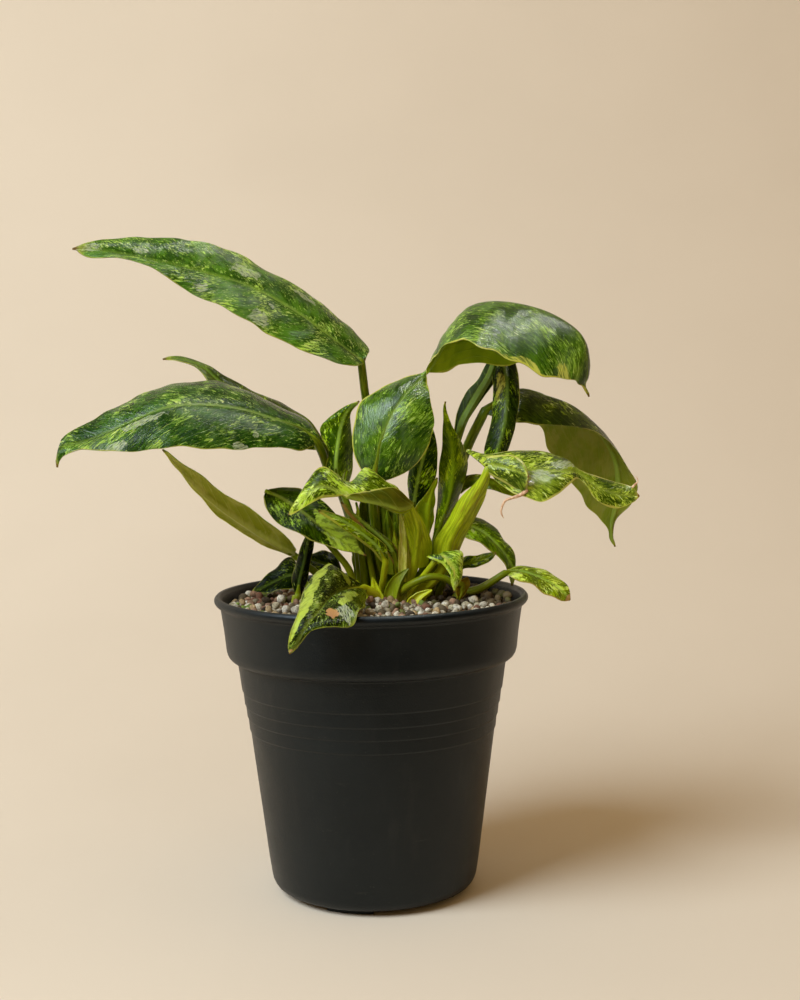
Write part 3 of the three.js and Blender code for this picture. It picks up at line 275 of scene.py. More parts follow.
        (-27, 1, 167.5, -29.5, -6, 160, -35.5, -10, 153), (-19.5, -1, 162.5, -23, -8, 155, -27, -13, 149.5),
        (-12.5, -3, 156, -16, -9, 150, -19, -13, 146),
        (-7.5, -6, 150.5, -10.5, -10, 146.5, -12, -13, 143.5),
        (-5.5, -9, 145, -7, -10, 143.5, -7.5, -12, 142.5), (-2.5, -10, 141.5, -2, -10, 141, -3, -10, 141),
    ]),
    ("leaf_gutter_left", "lime", (2.4, 1.7), [
        (13, 8, 111), (13, 7, 121), (18.5, 0, 137.5), (19.5, -8, 151), (16, -12, 161),
    ], [
        (17, -11, 163, 16, -12, 161, 14, -11, 163.5), (11.5, -17, 168, 11.5, -16, 160, 11, -14, 169),
        (6, -19, 169.5, 6.5, -18, 162, 6.5, -14, 172), (-1.5, -20, 168.5, 0, -20, 163.5, -1.5, -14, 177),
        (-7.5, -22, 167.5, -7, -21, 165.5, -8, -17, 172),
        (-13.5, -22, 166.5, -12, -22, 168, -13.5, -16, 175),
        (-20, -22, 165.5, -19.5, -22, 170.5, -19.5, -16, 178),
        (-26, -21, 162, -26, -21, 166.5, -25, -17, 172.5), (-30, -20, 159.5, -30, -20, 162, -29, -18, 166),
        (-33, -18, 158.5, -33, -18, 159, -33, -18, 159.5),
    ]),
    ("leaf_diagonal", "dark", (1.4, 1.3), [
        (4, 8, 111), (4, 7, 121), (5, 0, 129.5), (6, -5, 137.5),
    ], [
        (4.5, -4, 137.5, 6, -5, 137.5, 7.5, -4, 138), (0, -8, 143.5, 2.5, -10, 145, 6, -8, 145),
        (-7, -12, 149.5, -4.5, -14, 151.5, -1, -11, 151),
        (-13.5, -16, 154.5, -11.5, -17, 156.5, -8.5, -15, 156.5),
        (-21.5, -18, 160, -21, -18, 160.5, -20.5, -17.5, 161),
    ]),
    ("leaf_brown_edge", "dark", (1.3, 1.2), [
        (9, 8.5, 111), (9, 8.5, 121), (11.5, 4, 129), (11, -1, 135.5),
    ], [
        (10, 0, 135, 11, -1, 135.5, 12, 0, 135), (5.5, -3, 143, 8, -5, 144, 10.5, -1, 143),
        (-2, -6, 150.5, 0, -7, 152, 2.5, -4, 151), (-8.5, -8, 156.5, -7, -8, 158, -5.5, -6, 157),
        (-12, -9, 162.5, -12, -9, 163, -11, -9, 163),
    ]),
    ("leaf_low_left", "dark", (1.4, 1.2), [
        (-25, 16, 111), (-25, 16, 121), (-27.5, 18, 125.5), (-30.5, 18, 127.5),
    ], [
        (-30.5, 16, 125.5, -30.5, 18, 127.5, -30.5, 20, 130),
        (-34.5, 14, 124.5, -35, 18, 129.5, -34.5, 24, 137), (-41, 14, 123, -41, 18, 127, -41, 23, 132.5),
        (-47, 15, 122, -46.5, 17, 124.5, -46, 20, 128), (-51, 17, 122.5, -51.5, 17, 122.5, -51, 17, 123.5),
    ]),
    ("leaf_dark_strap", "dark", (1.5, 1.3), [
        (-32, 6, 111), (-32, 6, 121), (-31, 5, 122),
    ], [
        (-32, 6, 123, -31, 5, 122, -29.5, 6, 123), (-33.5, 7, 129, -30, 3, 129.5, -27, 7, 129),
        (-31.5, 7, 136.5, -28, 3, 137, -25.5, 7, 136.5), (-29, 6, 144, -26.5, 3, 144, -24, 6, 144),
        (-26, 4, 150, -25, 4, 150.5, -24, 4, 149.5),
    ]),
    ("leaf_dim_left", "olive", (1.4, 1.2), [
        (-18, 26, 111), (-18, 26, 121), (-13, 22, 126.5),
    ], [
        (-13.5, 21, 125.5, -13, 22, 126.5, -12, 23, 128), (-18, 20, 127, -17, 23, 132, -15, 27, 136.5),
        (-23.5, 21, 129, -22, 24, 134, -20.5, 27, 139), (-27, 23, 134.5, -27.5, 24, 136, -26.5, 25, 137.5),
    ]),
]
# Blades beside the first one, laid out in the same way: the stalk's wings, and a folded flap
WINGS = {
    "leaf_yellow_right": [
        (26.5, 4, 136, 30.5, -2, 136, 35, 3, 136), (27, 0, 146, 33, -5, 146.5, 38.5, 0, 145.5),
        (31.5, -3, 153.5, 37.5, -9, 156.5, 42.5, -5, 154), (36.5, -6, 163, 41, -11, 164, 46.5, -8, 162.5),
        (42.5, -9, 169.5, 45, -12, 170.5, 48, -11, 169),
        (47.5, -12, 175.5, 48, -12.5, 175.5, 49.5, -12, 175),
    ],
    "leaf_gutter_left": [
        (16, 2, 135, 19.5, 0, 134.5, 23.5, 2, 135), (16, -3, 144.5, 20.5, -6, 144.5, 25.5, -2, 144),
        (14, -7, 153, 18, -10, 153.5, 22, -7, 153.5), (14, -11, 159.5, 15.5, -12.5, 160.5, 18, -11, 160.5),
    ],
}
FLAPS = {
    "leaf_yellow_right": [
        (47.5, -13, 181, 48, -15, 178, 48.5, -15, 174), (54, -17, 182, 54, -20, 177, 54, -18, 171),
        (59, -20, 181, 60, -23, 175.5, 60, -20, 168), (63, -23, 177.5, 63.5, -25, 172.5, 62.5, -23, 166.5),
    ],
}

# How the leaves are made, as in the solid model
CURL = 0.1
RUFFLE = 0.5
RUFFLE_WAVES = 3
RIB_SHARE = 0.18
RIB_SINK = 0.4
RIB_CLEAR = 0.2

# The finer make of the leaves
ROW_PITCH = 1.5
FEWEST_ROWS = 14
HALF_COLUMNS = 12
NARROW_HALF_COLUMNS = 8
BROAD_HALF = 12.0
COLUMN_CROWDING = 1.35
BLADE_MIDDLE = 0.6
BLADE_EDGE = 0.32
EDGE_BAND = 0.8
GROOVE_DEPTH = 0.4
GROOVE_WIDTH = 1.0
VEIN_PITCH = 6.5
VEIN_LEAN = 1.1
VEIN_BEND = 0.03
QUILT_HEIGHT = 0.16
CRINKLE_HEIGHT = 0.14
CRINKLE_LENGTH = 7.0
CRINKLE_SEED = 11
EDGE_WAVE = 0.45
EDGE_WAVE_LENGTH = 13.0
EDGE_WAVE_SEED = 23
EDGE_WAVER = 0.035
TIP_START = 0.955
TIP_PINCH = 0.8
MARGIN_SPAN = 3.0
STALK_SIDES = 12
STALK_PITCH = 2.2
STALK_END = 0.45
FOOT_CAP = 0.2
TIP_CAP = 0.6
SHEATH_SWELL = 0.3
SWELL_REACH = 9

# Centimetres between the patterns of two leaves, and the step that a curve's heading is taken over
SEED_SHIFT = 7.3
NUDGE = 1e-4


def unit(vectors):
    lengths = np.linalg.norm(vectors, axis=-1, keepdims=True)
    return vectors / np.maximum(lengths, 1e-9)


def smooth(values, low, high):
    """0 below low, 1 above high and an even curve between"""
    share = np.clip((values - low) / (high - low), 0.0, 1.0)
    return share * share * (3.0 - 2.0 * share)


def turns(count):
    """Angles that part a circle evenly"""
    return 2 * np.pi * np.arange(count) / count


def curve_through(points, spots):
    """A smooth curve through points, at spots from 0 to 1"""
    points = np.asarray(points, float)
    ends = np.vstack([2 * points[0] - points[1], points, 2 * points[-1] - points[-2]])
    along = np.clip(spots, 0.0, 1.0) * (len(points) - 1)
    first = np.minimum(along.astype(int), len(points) - 2)
    share = (along - first)[:, None]
    before, start, end, after = (ends[first + i] for i in range(4))
    leave, arrive = 0.5 * (end - before), 0.5 * (after - start)
    cubic = 2 * start - 2 * end + leave + arrive
    square = 3 * end - 3 * start - 2 * leave - arrive
    return cubic * share**3 + square * share**2 + leave * share + start


def heading_along(points, spots):
    return curve_through(points, spots + NUDGE) - curve_through(points, spots - NUDGE)


def lengths_along(points):
    steps = np.linalg.norm(np.diff(points, axis=0), axis=1)
    return np.concatenate([[0.0], np.cumsum(steps)])


def even_spots(points, pitch, fewest):
    """Spots along the curve that lie about pitch apart on it"""
    dense = np.linspace(0.0, 1.0, 400)
    run = lengths_along(curve_through(points, dense))
    count = max(fewest, int(round(run[-1] / pitch)))
    return np.interp(np.linspace(0.0, run[-1], count + 1), run, dense)


def sizes_at(spots, sizes):
    """Sizes given evenly along a curve, read off at spots"""
    return np.interp(spots, np.linspace(0, 1, len(sizes)), sizes)


def ripple(points, wavelength, seed, count=7):
    """Smooth seeded noise from about -1 to 1, as a sum of waves in many directions"""
    draw = np.random.default_rng(seed)
    total = np.zeros(points.shape[:-1])
    for _ in range(count):
        direction = unit(draw.normal(size=3))
        turn = 2 * np.pi / (wavelength * draw.uniform(0.7, 1.6))
        total += np.sin(points @ direction * turn + draw.uniform(0, 2 * np.pi))
    return total / math.sqrt(count)


def new_piece(name, points, faces, materials=(), sharp=None):
    """A piece in the scene, smooth but for edges over sharp degrees, or flat all over without it"""
    mesh = bpy.data.meshes.new(name)
    mesh.from_pydata((np.asarray(points) * MM).tolist(), [], faces)
    if sharp is not None:
        mesh.polygons.foreach_set("use_smooth", [True] * len(faces))
        mesh.set_sharp_from_angle(angle=math.radians(sharp))
    for material in materials:
        mesh.materials.append(material)
    piece = bpy.data.objects.new(name, mesh)
    bpy.context.scene.collection.objects.link(piece)
    return piece


class Shape:
    """Gathers the faces of one piece, in millimetres"""

    def __init__(self):
        self.points, self.marks, self.faces, self.slots = [], [], [], []
        self.vein, self.place = [], []
        self.count = 0

    def add(self, points, faces, slots, vein, place, marks=None):
        """slots has a number for each face, vein and place a pair for each corner of each face"""
        self.points.append(points)
        self.marks.append(np.zeros((len(points), 4)) if marks is None else marks)
        self.faces += [[corner + self.count for corner in face] for face in faces]
        self.slots += slots
        self.vein += [pair for face in vein for pair in face]
        self.place += [pair for face in place for pair in face]
        self.count += len(points)

    def build(self, name, materials, sharp=55.0):
        piece = new_piece(name, np.vstack(self.points), self.faces, materials, sharp)
        piece.data.polygons.foreach_set("material_index", self.slots)
        for label, pairs in (("vein", self.vein), ("place", self.place)):
            layer = piece.data.uv_layers.new(name=label)
            layer.data.foreach_set("uv", np.asarray(pairs, float).ravel())
        colours = piece.data.color_attributes.new("marks", "FLOAT_COLOR", "POINT")
        colours.data.foreach_set("color", np.vstack(self.marks).ravel())
        piece.data.update()
        return piece


def grid_faces(rows, columns):
    corners = [i * columns + j for i in range(rows - 1) for j in range(columns - 1)]
    return [[a, a + 1, a + columns + 1, a + columns] for a in corners]


def corner_pairs(faces, values):
    """The pair of numbers of each corner of each face"""
    return [[values[corner] for corner in face] for face in faces]


def rim_of(rows, columns):
    """The grid's outline, in order"""
    top = list(range(columns - 1))
    right = [i * columns + columns - 1 for i in range(rows - 1)]
    bottom = [(rows - 1) * columns + j for j in range(columns - 1, 0, -1)]
    left = [i * columns for i in range(rows - 1, 0, -1)]
    return top + right + bottom + left


def marks_field(marks, run, spots, distance, inward):
    """Silver patches and painted sheen, yellow and brown from the leaf's marks, then nearness to the margin
    """
    field = np.zeros(distance.shape + (4,))
    for kind, rows in enumerate(marks):
        for place, across, length, width in rows:
            step = run[:, None] - np.interp(place, spots, run)
            reach = np.sqrt((step / length) ** 2 + ((distance - across) / width) ** 2)
            field[..., kind] = np.maximum(field[..., kind], np.clip(1.0 - 0.5 * reach, 0.0, 1.0))
    field[..., 3] = np.clip(1.0 - inward / MARGIN_SPAN, 0.0, 1.0)
    return field


def three_curves(rows):
    """The left margin, the rib and the right margin of a blade's rows"""
    return [[row[i:i + 3] for row in rows] for i in (0, 3, 6)]


def both_halves(halves):
    """One array across the blade from those of its two halves, which share the rib's column"""
    return np.concatenate([halves[0][:, :0:-1], halves[1]], axis=1)


def blade(shape, rows, seed, girth, slots, detail=1.0, curl=CURL, ruffle=RUFFLE, marks=()):
    """A blade from its rows: two faces with a rib, side veins and a waved margin"""
    left, rib, right = three_curves(rows)
    spots = even_spots(rib, ROW_PITCH, FEWEST_ROWS)
    middle = curve_through(rib, spots)
    run = lengths_along(middle)
    sides = [curve_through(left, spots), curve_through(right, spots)]
    upward = unit(np.cross(sides[1] - sides[0], unit(heading_along(rib, spots))))
    pinch = 1.0 - TIP_PINCH * smooth(spots, TIP_START, 1.0) ** 2
    widths = [np.linalg.norm(side - middle, axis=1) for side in sides]
    half_columns = HALF_COLUMNS if max(w.max() for w in widths) > BROAD_HALF else NARROW_HALF_COLUMNS
    steps = (np.arange(half_columns) / (half_columns - 1)) ** COLUMN_CROWDING
    waver = 1 + detail * EDGE_WAVER * np.sin(run / 3.1 + seed) * np.sin(run / 7.3 + 2 * seed)
    fade = np.sin(np.pi * spots)
    grid, distance, inward = [], [], []
    for sign, phase, side, width in ((-1, 0.0, sides[0], widths[0]), (1, 1.3, sides[1], widths[1])):
        band = np.minimum(EDGE_BAND / np.maximum(width, 0.1), 0.25)
        out = np.concatenate([steps[None, :] * (1 - band)[:, None], np.ones((len(spots), 1))], axis=1)
        point = middle[:, None] + (side - middle)[:, None] * (out * (pinch * waver)[:, None])[..., None]
        wave = ruffle * np.sin(2 * np.pi * RUFFLE_WAVES * spots + phase) * fade
        arch = curl * 4 * out * (1 - out) * width[:, None] + wave[:, None] * out**2
        far = out * width[:, None]
        groove = -GROOVE_DEPTH * (1 - spots[:, None]) ** 0.5 * np.exp(-((far / GROOVE_WIDTH) ** 2))
        skew = VEIN_LEAN * far + VEIN_BEND * far**2
        quilt = QUILT_HEIGHT * np.sin(2 * np.pi * (run[:, None] - skew) / VEIN_PITCH + sign)
        quilt = quilt * smooth(far, 0.8, 3.0) * (1 - out**3)
        crinkle = CRINKLE_HEIGHT * ripple(point, CRINKLE_LENGTH, seed + CRINKLE_SEED) * smooth(far, 0.4, 3.0)
        rough_edge = EDGE_WAVE * ripple(point, EDGE_WAVE_LENGTH, seed + EDGE_WAVE_SEED) * out**3
        arch += detail * fade[:, None] ** 0.5 * (groove + quilt + crinkle + rough_edge)
        grid.append(point + upward[:, None] * arch[..., None])
        distance.append(sign * far)
        inward.append(width[:, None] - far)
    grid, distance, inward = both_halves(grid), both_halves(distance), both_halves(inward)
    normal = unit(np.cross(np.gradient(grid, axis=1), np.gradient(grid, axis=0)))
    count_rows, count_columns = distance.shape
    out = np.abs(np.linspace(-1, 1, count_columns))[None, :]
    half = (BLADE_MIDDLE + (BLADE_EDGE - BLADE_MIDDLE) * out**2)[..., None] / 2
    reach = (girth * (1 - spots) ** 0.9 + 0.2)[:, None]
    bulge = reach * np.sqrt(np.clip(1 - (distance / (1.2 * reach)) ** 2, 0, 1)) * detail
    top, low = grid + normal * half, grid - normal * (half + 0.8 * bulge[..., None])
    along = np.broadcast_to(run[:, None], distance.shape) / 10 + SEED_SHIFT * seed
    across = np.linspace(0, 1, count_columns)[None, :]
    vein = np.stack([along, distance / 10], -1)
    place = np.stack(np.broadcast_arrays(spots[:, None], across), -1)
    vein, place = (np.tile(pairs.reshape(-1, 2), (2, 1)).tolist() for pairs in (vein, place))
    field = marks_field(marks, run, spots, distance, inward)
    points = np.concatenate([top.reshape(-1, 3), low.reshape(-1, 3)])
    under = count_rows * count_columns
    upper_faces = grid_faces(count_rows, count_columns)
    under_faces = [[corner + under for corner in face[::-1]] for face in upper_faces]
    rim = rim_of(count_rows, count_columns)
    edge_faces = [[a, a + under, b + under, b] for a, b in zip(rim, rim[1:] + rim[:1])]
    faces = upper_faces + under_faces + edge_faces
    face_slots = [slots[0]] * len(upper_faces) + [slots[1]] * len(under_faces) + [slots[2]] * len(edge_faces)
    pairs = corner_pairs(faces, vein), corner_pairs(faces, place)
    shape.add(points, faces, face_slots, *pairs, np.tile(field.reshape(-1, 4), (2, 1)))


def rod(shape, path, radii, slot, seed, sides=STALK_SIDES):
    """A closed round rod along a path"""
    along = unit(np.gradient(path, axis=0))
    side = np.array([1.0, 0.0, 0.0])
    angles = turns(sides)
    rings = []
    for centre, heading, radius in zip(path, along, radii):
        side = unit(side - heading * (side @ heading))
        up = np.cross(heading, side)
        ring = np.cos(angles)[:, None] * side + np.sin(angles)[:, None] * up
        rings.append(centre + ring * radius)
    foot_cap = path[:1] - along[:1] * radii[0] * FOOT_CAP
    tip_cap = path[-1:] + along[-1:] * radii[-1] * TIP_CAP
    run = lengths_along(path) / 10 + SEED_SHIFT * seed
    width = 2 * np.pi * float(np.mean(radii)) / 10
    last = len(path) - 1
    faces, vein, place = [], [], []
    for i in range(last):
        near, far = i / last, (i + 1) / last
        for j in range(sides):
            k = (j + 1) % sides
            low, high = j / sides, (j + 1) / sides
            faces.append([i * sides + j, i * sides + k, (i + 1) * sides + k, (i + 1) * sides + j])
            corners = ((i, low), (i, high), (i + 1, high), (i + 1, low))
            vein.append([(run[end], around * width) for end, around in corners])
            place.append([(near, low), (near, high), (far, high), (far, low)])
    base, tip = len(path) * sides, len(path) * sides + 1
    for j in range(sides):
        k = (j + 1) % sides
        low, high = j / sides * width, (j + 1) / sides * width
        faces += [[base, k, j], [tip, last * sides + j, last * sides + k]]
        vein.append([(run[0], low), (run[0], high), (run[0], low)])
        vein.append([(run[-1], low), (run[-1], low), (run[-1], high)])
        place += [[(0, 0), (0, 1), (0, 0)], [(1, 0), (1, 0), (1, 1)]]
    shape.add(np.vstack(rings + [foot_cap, tip_cap]), faces, [slot] * len(faces), vein, place)


def rod_through(shape, points, girth, pitch, fewest, slot, seed, sides):
    spots = even_spots(points, pitch, fewest)
    rod(shape, curve_through(points, spots), sizes_at(spots, girth), slot, seed, sides)


def stalk(shape, stem, girth, rows, slot, seed):
    """The stalk, which runs on under the blade as the start of its rib"""
    spots = even_spots(stem, STALK_PITCH, 8)
    foot, top = girth
    left, rib, right = three_curves(rows)
    under = np.linspace(0, RIB_SHARE, 10)[1:]
    across = curve_through(right, under) - curve_through(left, under)
    upward = unit(np.cross(across, heading_along(rib, under)))
    thin = top + (STALK_END - top) * under / RIB_SHARE
    rise = np.clip(under / RIB_SHARE * 3, 0, 1)
    sunk = curve_through(rib, under) - upward * ((RIB_SINK + RIB_CLEAR) * thin * rise)[:, None]
    path = np.vstack([curve_through(stem, spots), sunk])
    radii = np.concatenate([foot + (top - foot) * spots, thin])
    swell = 1 + SHEATH_SWELL * np.exp(-np.clip(path[:, 2] - GRIT_TOP, 0, None) / SWELL_REACH)
    rod(shape, path, radii * swell, slot, seed)


def is_socket(value):
    return isinstance(value, bpy.types.NodeSocket)


class Sheet:
    """A material's node sheet, with a short call for each kind of node"""

    def __init__(self, name):
        self.material = bpy.data.materials.new(name)
        self.material.use_nodes = True
        self.tree = self.material.node_tree
        self.tree.nodes.clear()

    def put(self, kind, inputs=None, **settings):
        node = self.tree.nodes.new("ShaderNode" + kind)
        for key, value in settings.items():
            setattr(node, key, value)
        for key, value in (inputs or {}).items():
            if is_socket(value):
                self.tree.links.new(value, node.inputs[key])
            else:
                node.inputs[key].default_value = value
        return node

    def math(self, operation, first, second=0.0):
        return self.put("Math", {0: first, 1: second}, operation=operation).outputs[0]

    def add(self, first, second):
        return self.math("ADD", first, second)

    def less(self, first, second):
        return self.math("SUBTRACT", first, second)

    def times(self, first, second):
        return self.math("MULTIPLY", first, second)

    def vector(self, x, y=0.0, z=0.0):
        return self.put("CombineXYZ", {0: x, 1: y, 2: z}).outputs[0]

    def parts(self, vector):
        return self.put("SeparateXYZ", {0: vector}).outputs

    def noise(self, vector, scale, detail=3.0, roughness=0.55, distortion=0.0):
        inputs = {"Vector": vector, "Scale": scale, "Detail": detail, "Roughness": roughness}
        return self.put("TexNoise", {**inputs, "Distortion": distortion}).outputs["Fac"]

    def cells(self, vector, scale):
        return self.put("TexVoronoi", {"Vector": vector, "Scale": scale}).outputs["Distance"]

    def step(self, value, low, high, to_low=0.0, to_high=1.0):
        inputs = {0: value, 1: low, 2: high, 3: to_low, 4: to_high}
        return self.put("MapRange", inputs, interpolation_type="SMOOTHSTEP").outputs[0]

    def mix(self, share, first, second):
        colours = [c if is_socket(c) else (*c, 1.0) for c in (first, second)]
        return self.put("Mix", {0: share, 6: colours[0], 7: colours[1]}, data_type="RGBA").outputs[2]

    def lay(self, colour, over, share, amount):
        """Lays an amount of one colour over another where share is 1"""
        return self.mix(self.times(share, amount), colour, over)

    def tint(self, colour, over, value, low, high, to_low=0.0, to_high=1.0):
        """Lays one colour over another as value goes from low to high"""
        return self.mix(self.step(value, low, high, to_low, to_high), colour, over)

    def uv(self, name):
        return self.parts(self.put("UVMap", uv_map=name).outputs[0])

    def here(self):
        return self.put("TexCoord").outputs["Object"]

    def marks(self):
        return self.put("Attribute", attribute_name="marks", attribute_type="GEOMETRY").outputs

    def bump(self, height, distance, strength=1.0):
        return self.put("Bump", {"Height": height, "Distance": distance, "Strength": strength}).outputs[0]

    def finish(self, colour, roughness, normal=None, **fixed):
        inputs = {"Base Color": colour, "Roughness": roughness}
        if normal is not None:
            inputs["Normal"] = normal
        inputs.update({key.replace("_", " "): value for key, value in fixed.items()})
        shader = self.put("BsdfPrincipled", inputs)
        self.put("OutputMaterial", {"Surface": shader.outputs[0]})
        return self.material


class LeafSheet(Sheet):
    """A leaf's sheet, which knows where it is on the blade, in centimetres, and the leaf's marks there"""

    def __init__(self, name, tone):
        super().__init__(name)
        self.tone = tone
        self.along, self.across, _ = self.uv("vein")
        self.flat = self.vector(self.along, self.across)
        self.far = self.math("ABSOLUTE", self.across)
        bend = self.times(self.times(self.far, self.far), VEIN_BEND * 10)
        # Where the side vein that passes here left the rib
        self.vein_run = self.less(self.along, self.add(self.times(self.far, VEIN_LEAN), bend))
        self.leaning = self.vector(self.vein_run, self.far)
        self.run, _, _ = self.uv("place")
        marks = self.marks()
        self.silver, self.yellow, self.brown = self.put("SeparateColor", {0: marks["Color"]}).outputs
        self.edge = marks["Alpha"]

    def variegation(self):
        """Shares of flecks, patches, specks and lace, which lean along the side veins"""
        tone = self.tone
        half = self.times(self.math("SIGN", self.across), 3.7)
        grain = self.vector(self.vein_run, self.times(self.far, 1.10), half)
        loose = self.vector(self.times(self.vein_run, 0.9), self.times(self.far, 1.4), half)
        crowd = self.less(self.noise(self.flat, 0.9, 2.0), 0.5)

        def share(vector, scale, amount, soft, detail, ease, bend):
            level = self.add(0.665 - 0.16 * amount, self.times(crowd, -ease))
            return self.step(self.less(self.noise(vector, scale, detail, 0.62, bend), level), 0.0, soft)

        flecks = share(grain, 4.6, tone["flecks"], 0.020, 5.0, 0.55, 0.5)
        patches = share(loose, 2.4, tone["patches"], 0.02, 7.0, 0.3, 1.2)
        specks = share(grain, 11.0, tone["specks"], 0.03, 3.0, 0.35, 0.3)
        thread = self.less(self.noise(loose, 2.6, 3.0, 0.6, 1.6), 0.5)
        thin = self.step(self.math("ABSOLUTE", thread), 0.0, 0.022, 1.0, 0.0)
        room = self.step(crowd, 0.10 - 0.16 * tone["lace"], 0.14 - 0.16 * tone["lace"])
        return flecks, patches, specks, self.times(thin, room)

    def vein_lines(self):
        """1 on the side veins and 0 between them"""
        wander = self.times(self.noise(self.leaning, 1.5, 2.0), 0.22)
        turn = self.math("FRACT", self.times(self.add(self.vein_run, wander), 10 / VEIN_PITCH))
        peak = self.times(self.math("ABSOLUTE", self.less(turn, 0.5)), 2.0)
        return self.step(peak, 0.80, 1.0)

    def spot(self, field, ragged=1.0):
        """The share of a marked spot, with a ragged outline"""
        wander = self.noise(self.flat, 3.4, 5.0, 0.62, 0.6)
        level = self.add(field, self.times(self.less(wander, 0.5), ragged))
        return self.step(level, 0.48, 0.53)

    def dress_margin(self, colour):
        """The pale margin, and the tip, which yellows and then dries"""
        pale = self.tone["edge"]
        waver = self.less(self.noise(self.flat, 2.2, 4.0), 0.5)
        long_wave = self.noise(self.vector(self.along, self.math("SIGN", self.across)), 0.55, 1.0)
        stretch = self.step(long_wave, 0.42, 0.60, 0.4, 1.5)
        level = self.less(1.0, self.times(stretch, self.tone["margin"] / MARGIN_SPAN))
        over = self.less(self.add(self.edge, self.times(waver, 0.3)), level)
        colour = self.lay(colour, pale, self.step(over, -0.05, 0.06), 0.8)
        end = self.add(self.run, self.times(waver, 0.03))
        colour = self.tint(colour, pale, end, 0.90, 0.97, 0.0, 0.5)
        return self.tint(colour, TIP_BROWN, end, 0.965, 0.99, 0.0, 0.9)


def paint(red, green, blue):
    """A colour named by its screen values, as the linear light that shaders take"""
    return tuple(((c / 255 + 0.055) / 1.055) ** 2.4 if c > 10 else c / 3294.6 for c in (red, green, blue))


# Laid on the silver marks, which are silver patches and in places painted sheen
SILVER_AND_SHEEN = paint(176, 184, 152)
# The colour of a grey-green haze that is partly the leaf's own tone and partly painted sheen
MIST_AND_SHEEN = paint(132, 150, 112)
BROWN = paint(186, 140, 92)
TIP_BROWN = paint(104, 70, 36)
PAPER_WARM = (0.660, 0.575, 0.465)
PAPER_PALE = (0.690, 0.603, 0.490)

# Leaf tissue lets some light through: how much, which light, and how far in metres
GLOW = {
    "Subsurface_Weight": 0.6,
    "Subsurface_Radius": (0.85, 1.0, 0.12),
    "Subsurface_Scale": 0.0010,
}
STALK_GLOW = {**GLOW, "Subsurface_Weight": 0.35}


def leaf_upper(name, tone):
    sheet = LeafSheet(name, tone)
    far, vein_run = sheet.far, sheet.vein_run
    broad = sheet.noise(sheet.flat, 0.8, 2.0)
    mottle = sheet.noise(sheet.vector(vein_run, sheet.times(far, 1.2), 6.0), 3.8, 7.0, 0.66, 0.6)
    ground = sheet.add(sheet.times(broad, 0.45), sheet.times(mottle, 0.55))
    colour = sheet.tint(tone["deep"], tone["mid"], ground, 0.45, 0.58)
    # A grey-green haze in broad patches, partly the leaf's own tone and partly painted sheen
    misty_sheen = sheet.noise(sheet.vector(sheet.along, sheet.across, 3.0), 0.7, 5.0, 0.6, 0.6)
    colour = sheet.tint(colour, MIST_AND_SHEEN, misty_sheen, 0.50, 0.66, 0.0, tone["mist_and_sheen"])
    veins = sheet.vein_lines()
    threads = sheet.noise(sheet.vector(vein_run, sheet.times(far, 0.06)), 13.0, 2.0, 0.6)
    colour = sheet.tint(colour, tone["mid"], threads, 0.50, 0.66, 0.0, 0.12)
    flecks, patches, specks, lace = sheet.variegation()
    blend = sheet.noise(sheet.vector(vein_run, far, 4.0), 3.0, 2.0)
    bright = sheet.tint(tone["fleck"], tone["cream"], blend, 0.50, 0.64)
    for share, amount in ((patches, 0.40), (specks, 0.65), (lace, 0.75)):
        colour = sheet.lay(colour, tone["fleck"], share, amount)
    colour = sheet.lay(colour, bright, flecks, 0.92)
    colour = sheet.lay(colour, tone["rib"], veins, 0.10)
    core = sheet.step(far, 0.03, 0.14, 1.0, 0.0)
    colour = sheet.lay(colour, tone["rib"], core, sheet.less(0.88, sheet.times(sheet.run, 0.60)))
    # Silver marks: silver patches and, where light glances off the blade as on leaf_left, painted sheen
    silver = sheet.spot(sheet.silver)
    frost_and_sheen = sheet.tint(colour, SILVER_AND_SHEEN, sheet.noise(sheet.leaning, 9.0, 5.0), 0.34, 0.62)
    colour = sheet.lay(colour, frost_and_sheen, silver, 0.85)
    solid = sheet.step(mottle, 0.42, 0.56, tone["solid"], 0.95)
    colour = sheet.lay(colour, tone["spot"], sheet.spot(sheet.yellow, 0.6), solid)
    colour = sheet.lay(colour, BROWN, sheet.spot(sheet.brown), 0.85)
    colour = sheet.dress_margin(colour)
    fine = sheet.noise(sheet.leaning, 30.0, 3.0)
    crease = sheet.noise(sheet.vector(sheet.times(vein_run, 1.6), far), 6.0, 4.0, 0.62)
    height = sheet.add(sheet.times(veins, -0.4), sheet.add(sheet.times(crease, 1.7), sheet.times(fine, 0.20)))
    height = sheet.add(height, sheet.times(threads, 0.35))
    roughness = sheet.add(sheet.step(crease, 0.3, 0.7, 0.11, 0.22), sheet.times(silver, 0.10))
    normal = sheet.bump(height, 0.0005, 0.34)
    return sheet.finish(colour, roughness, normal, Specular_IOR_Level=tone["gloss"], **GLOW)


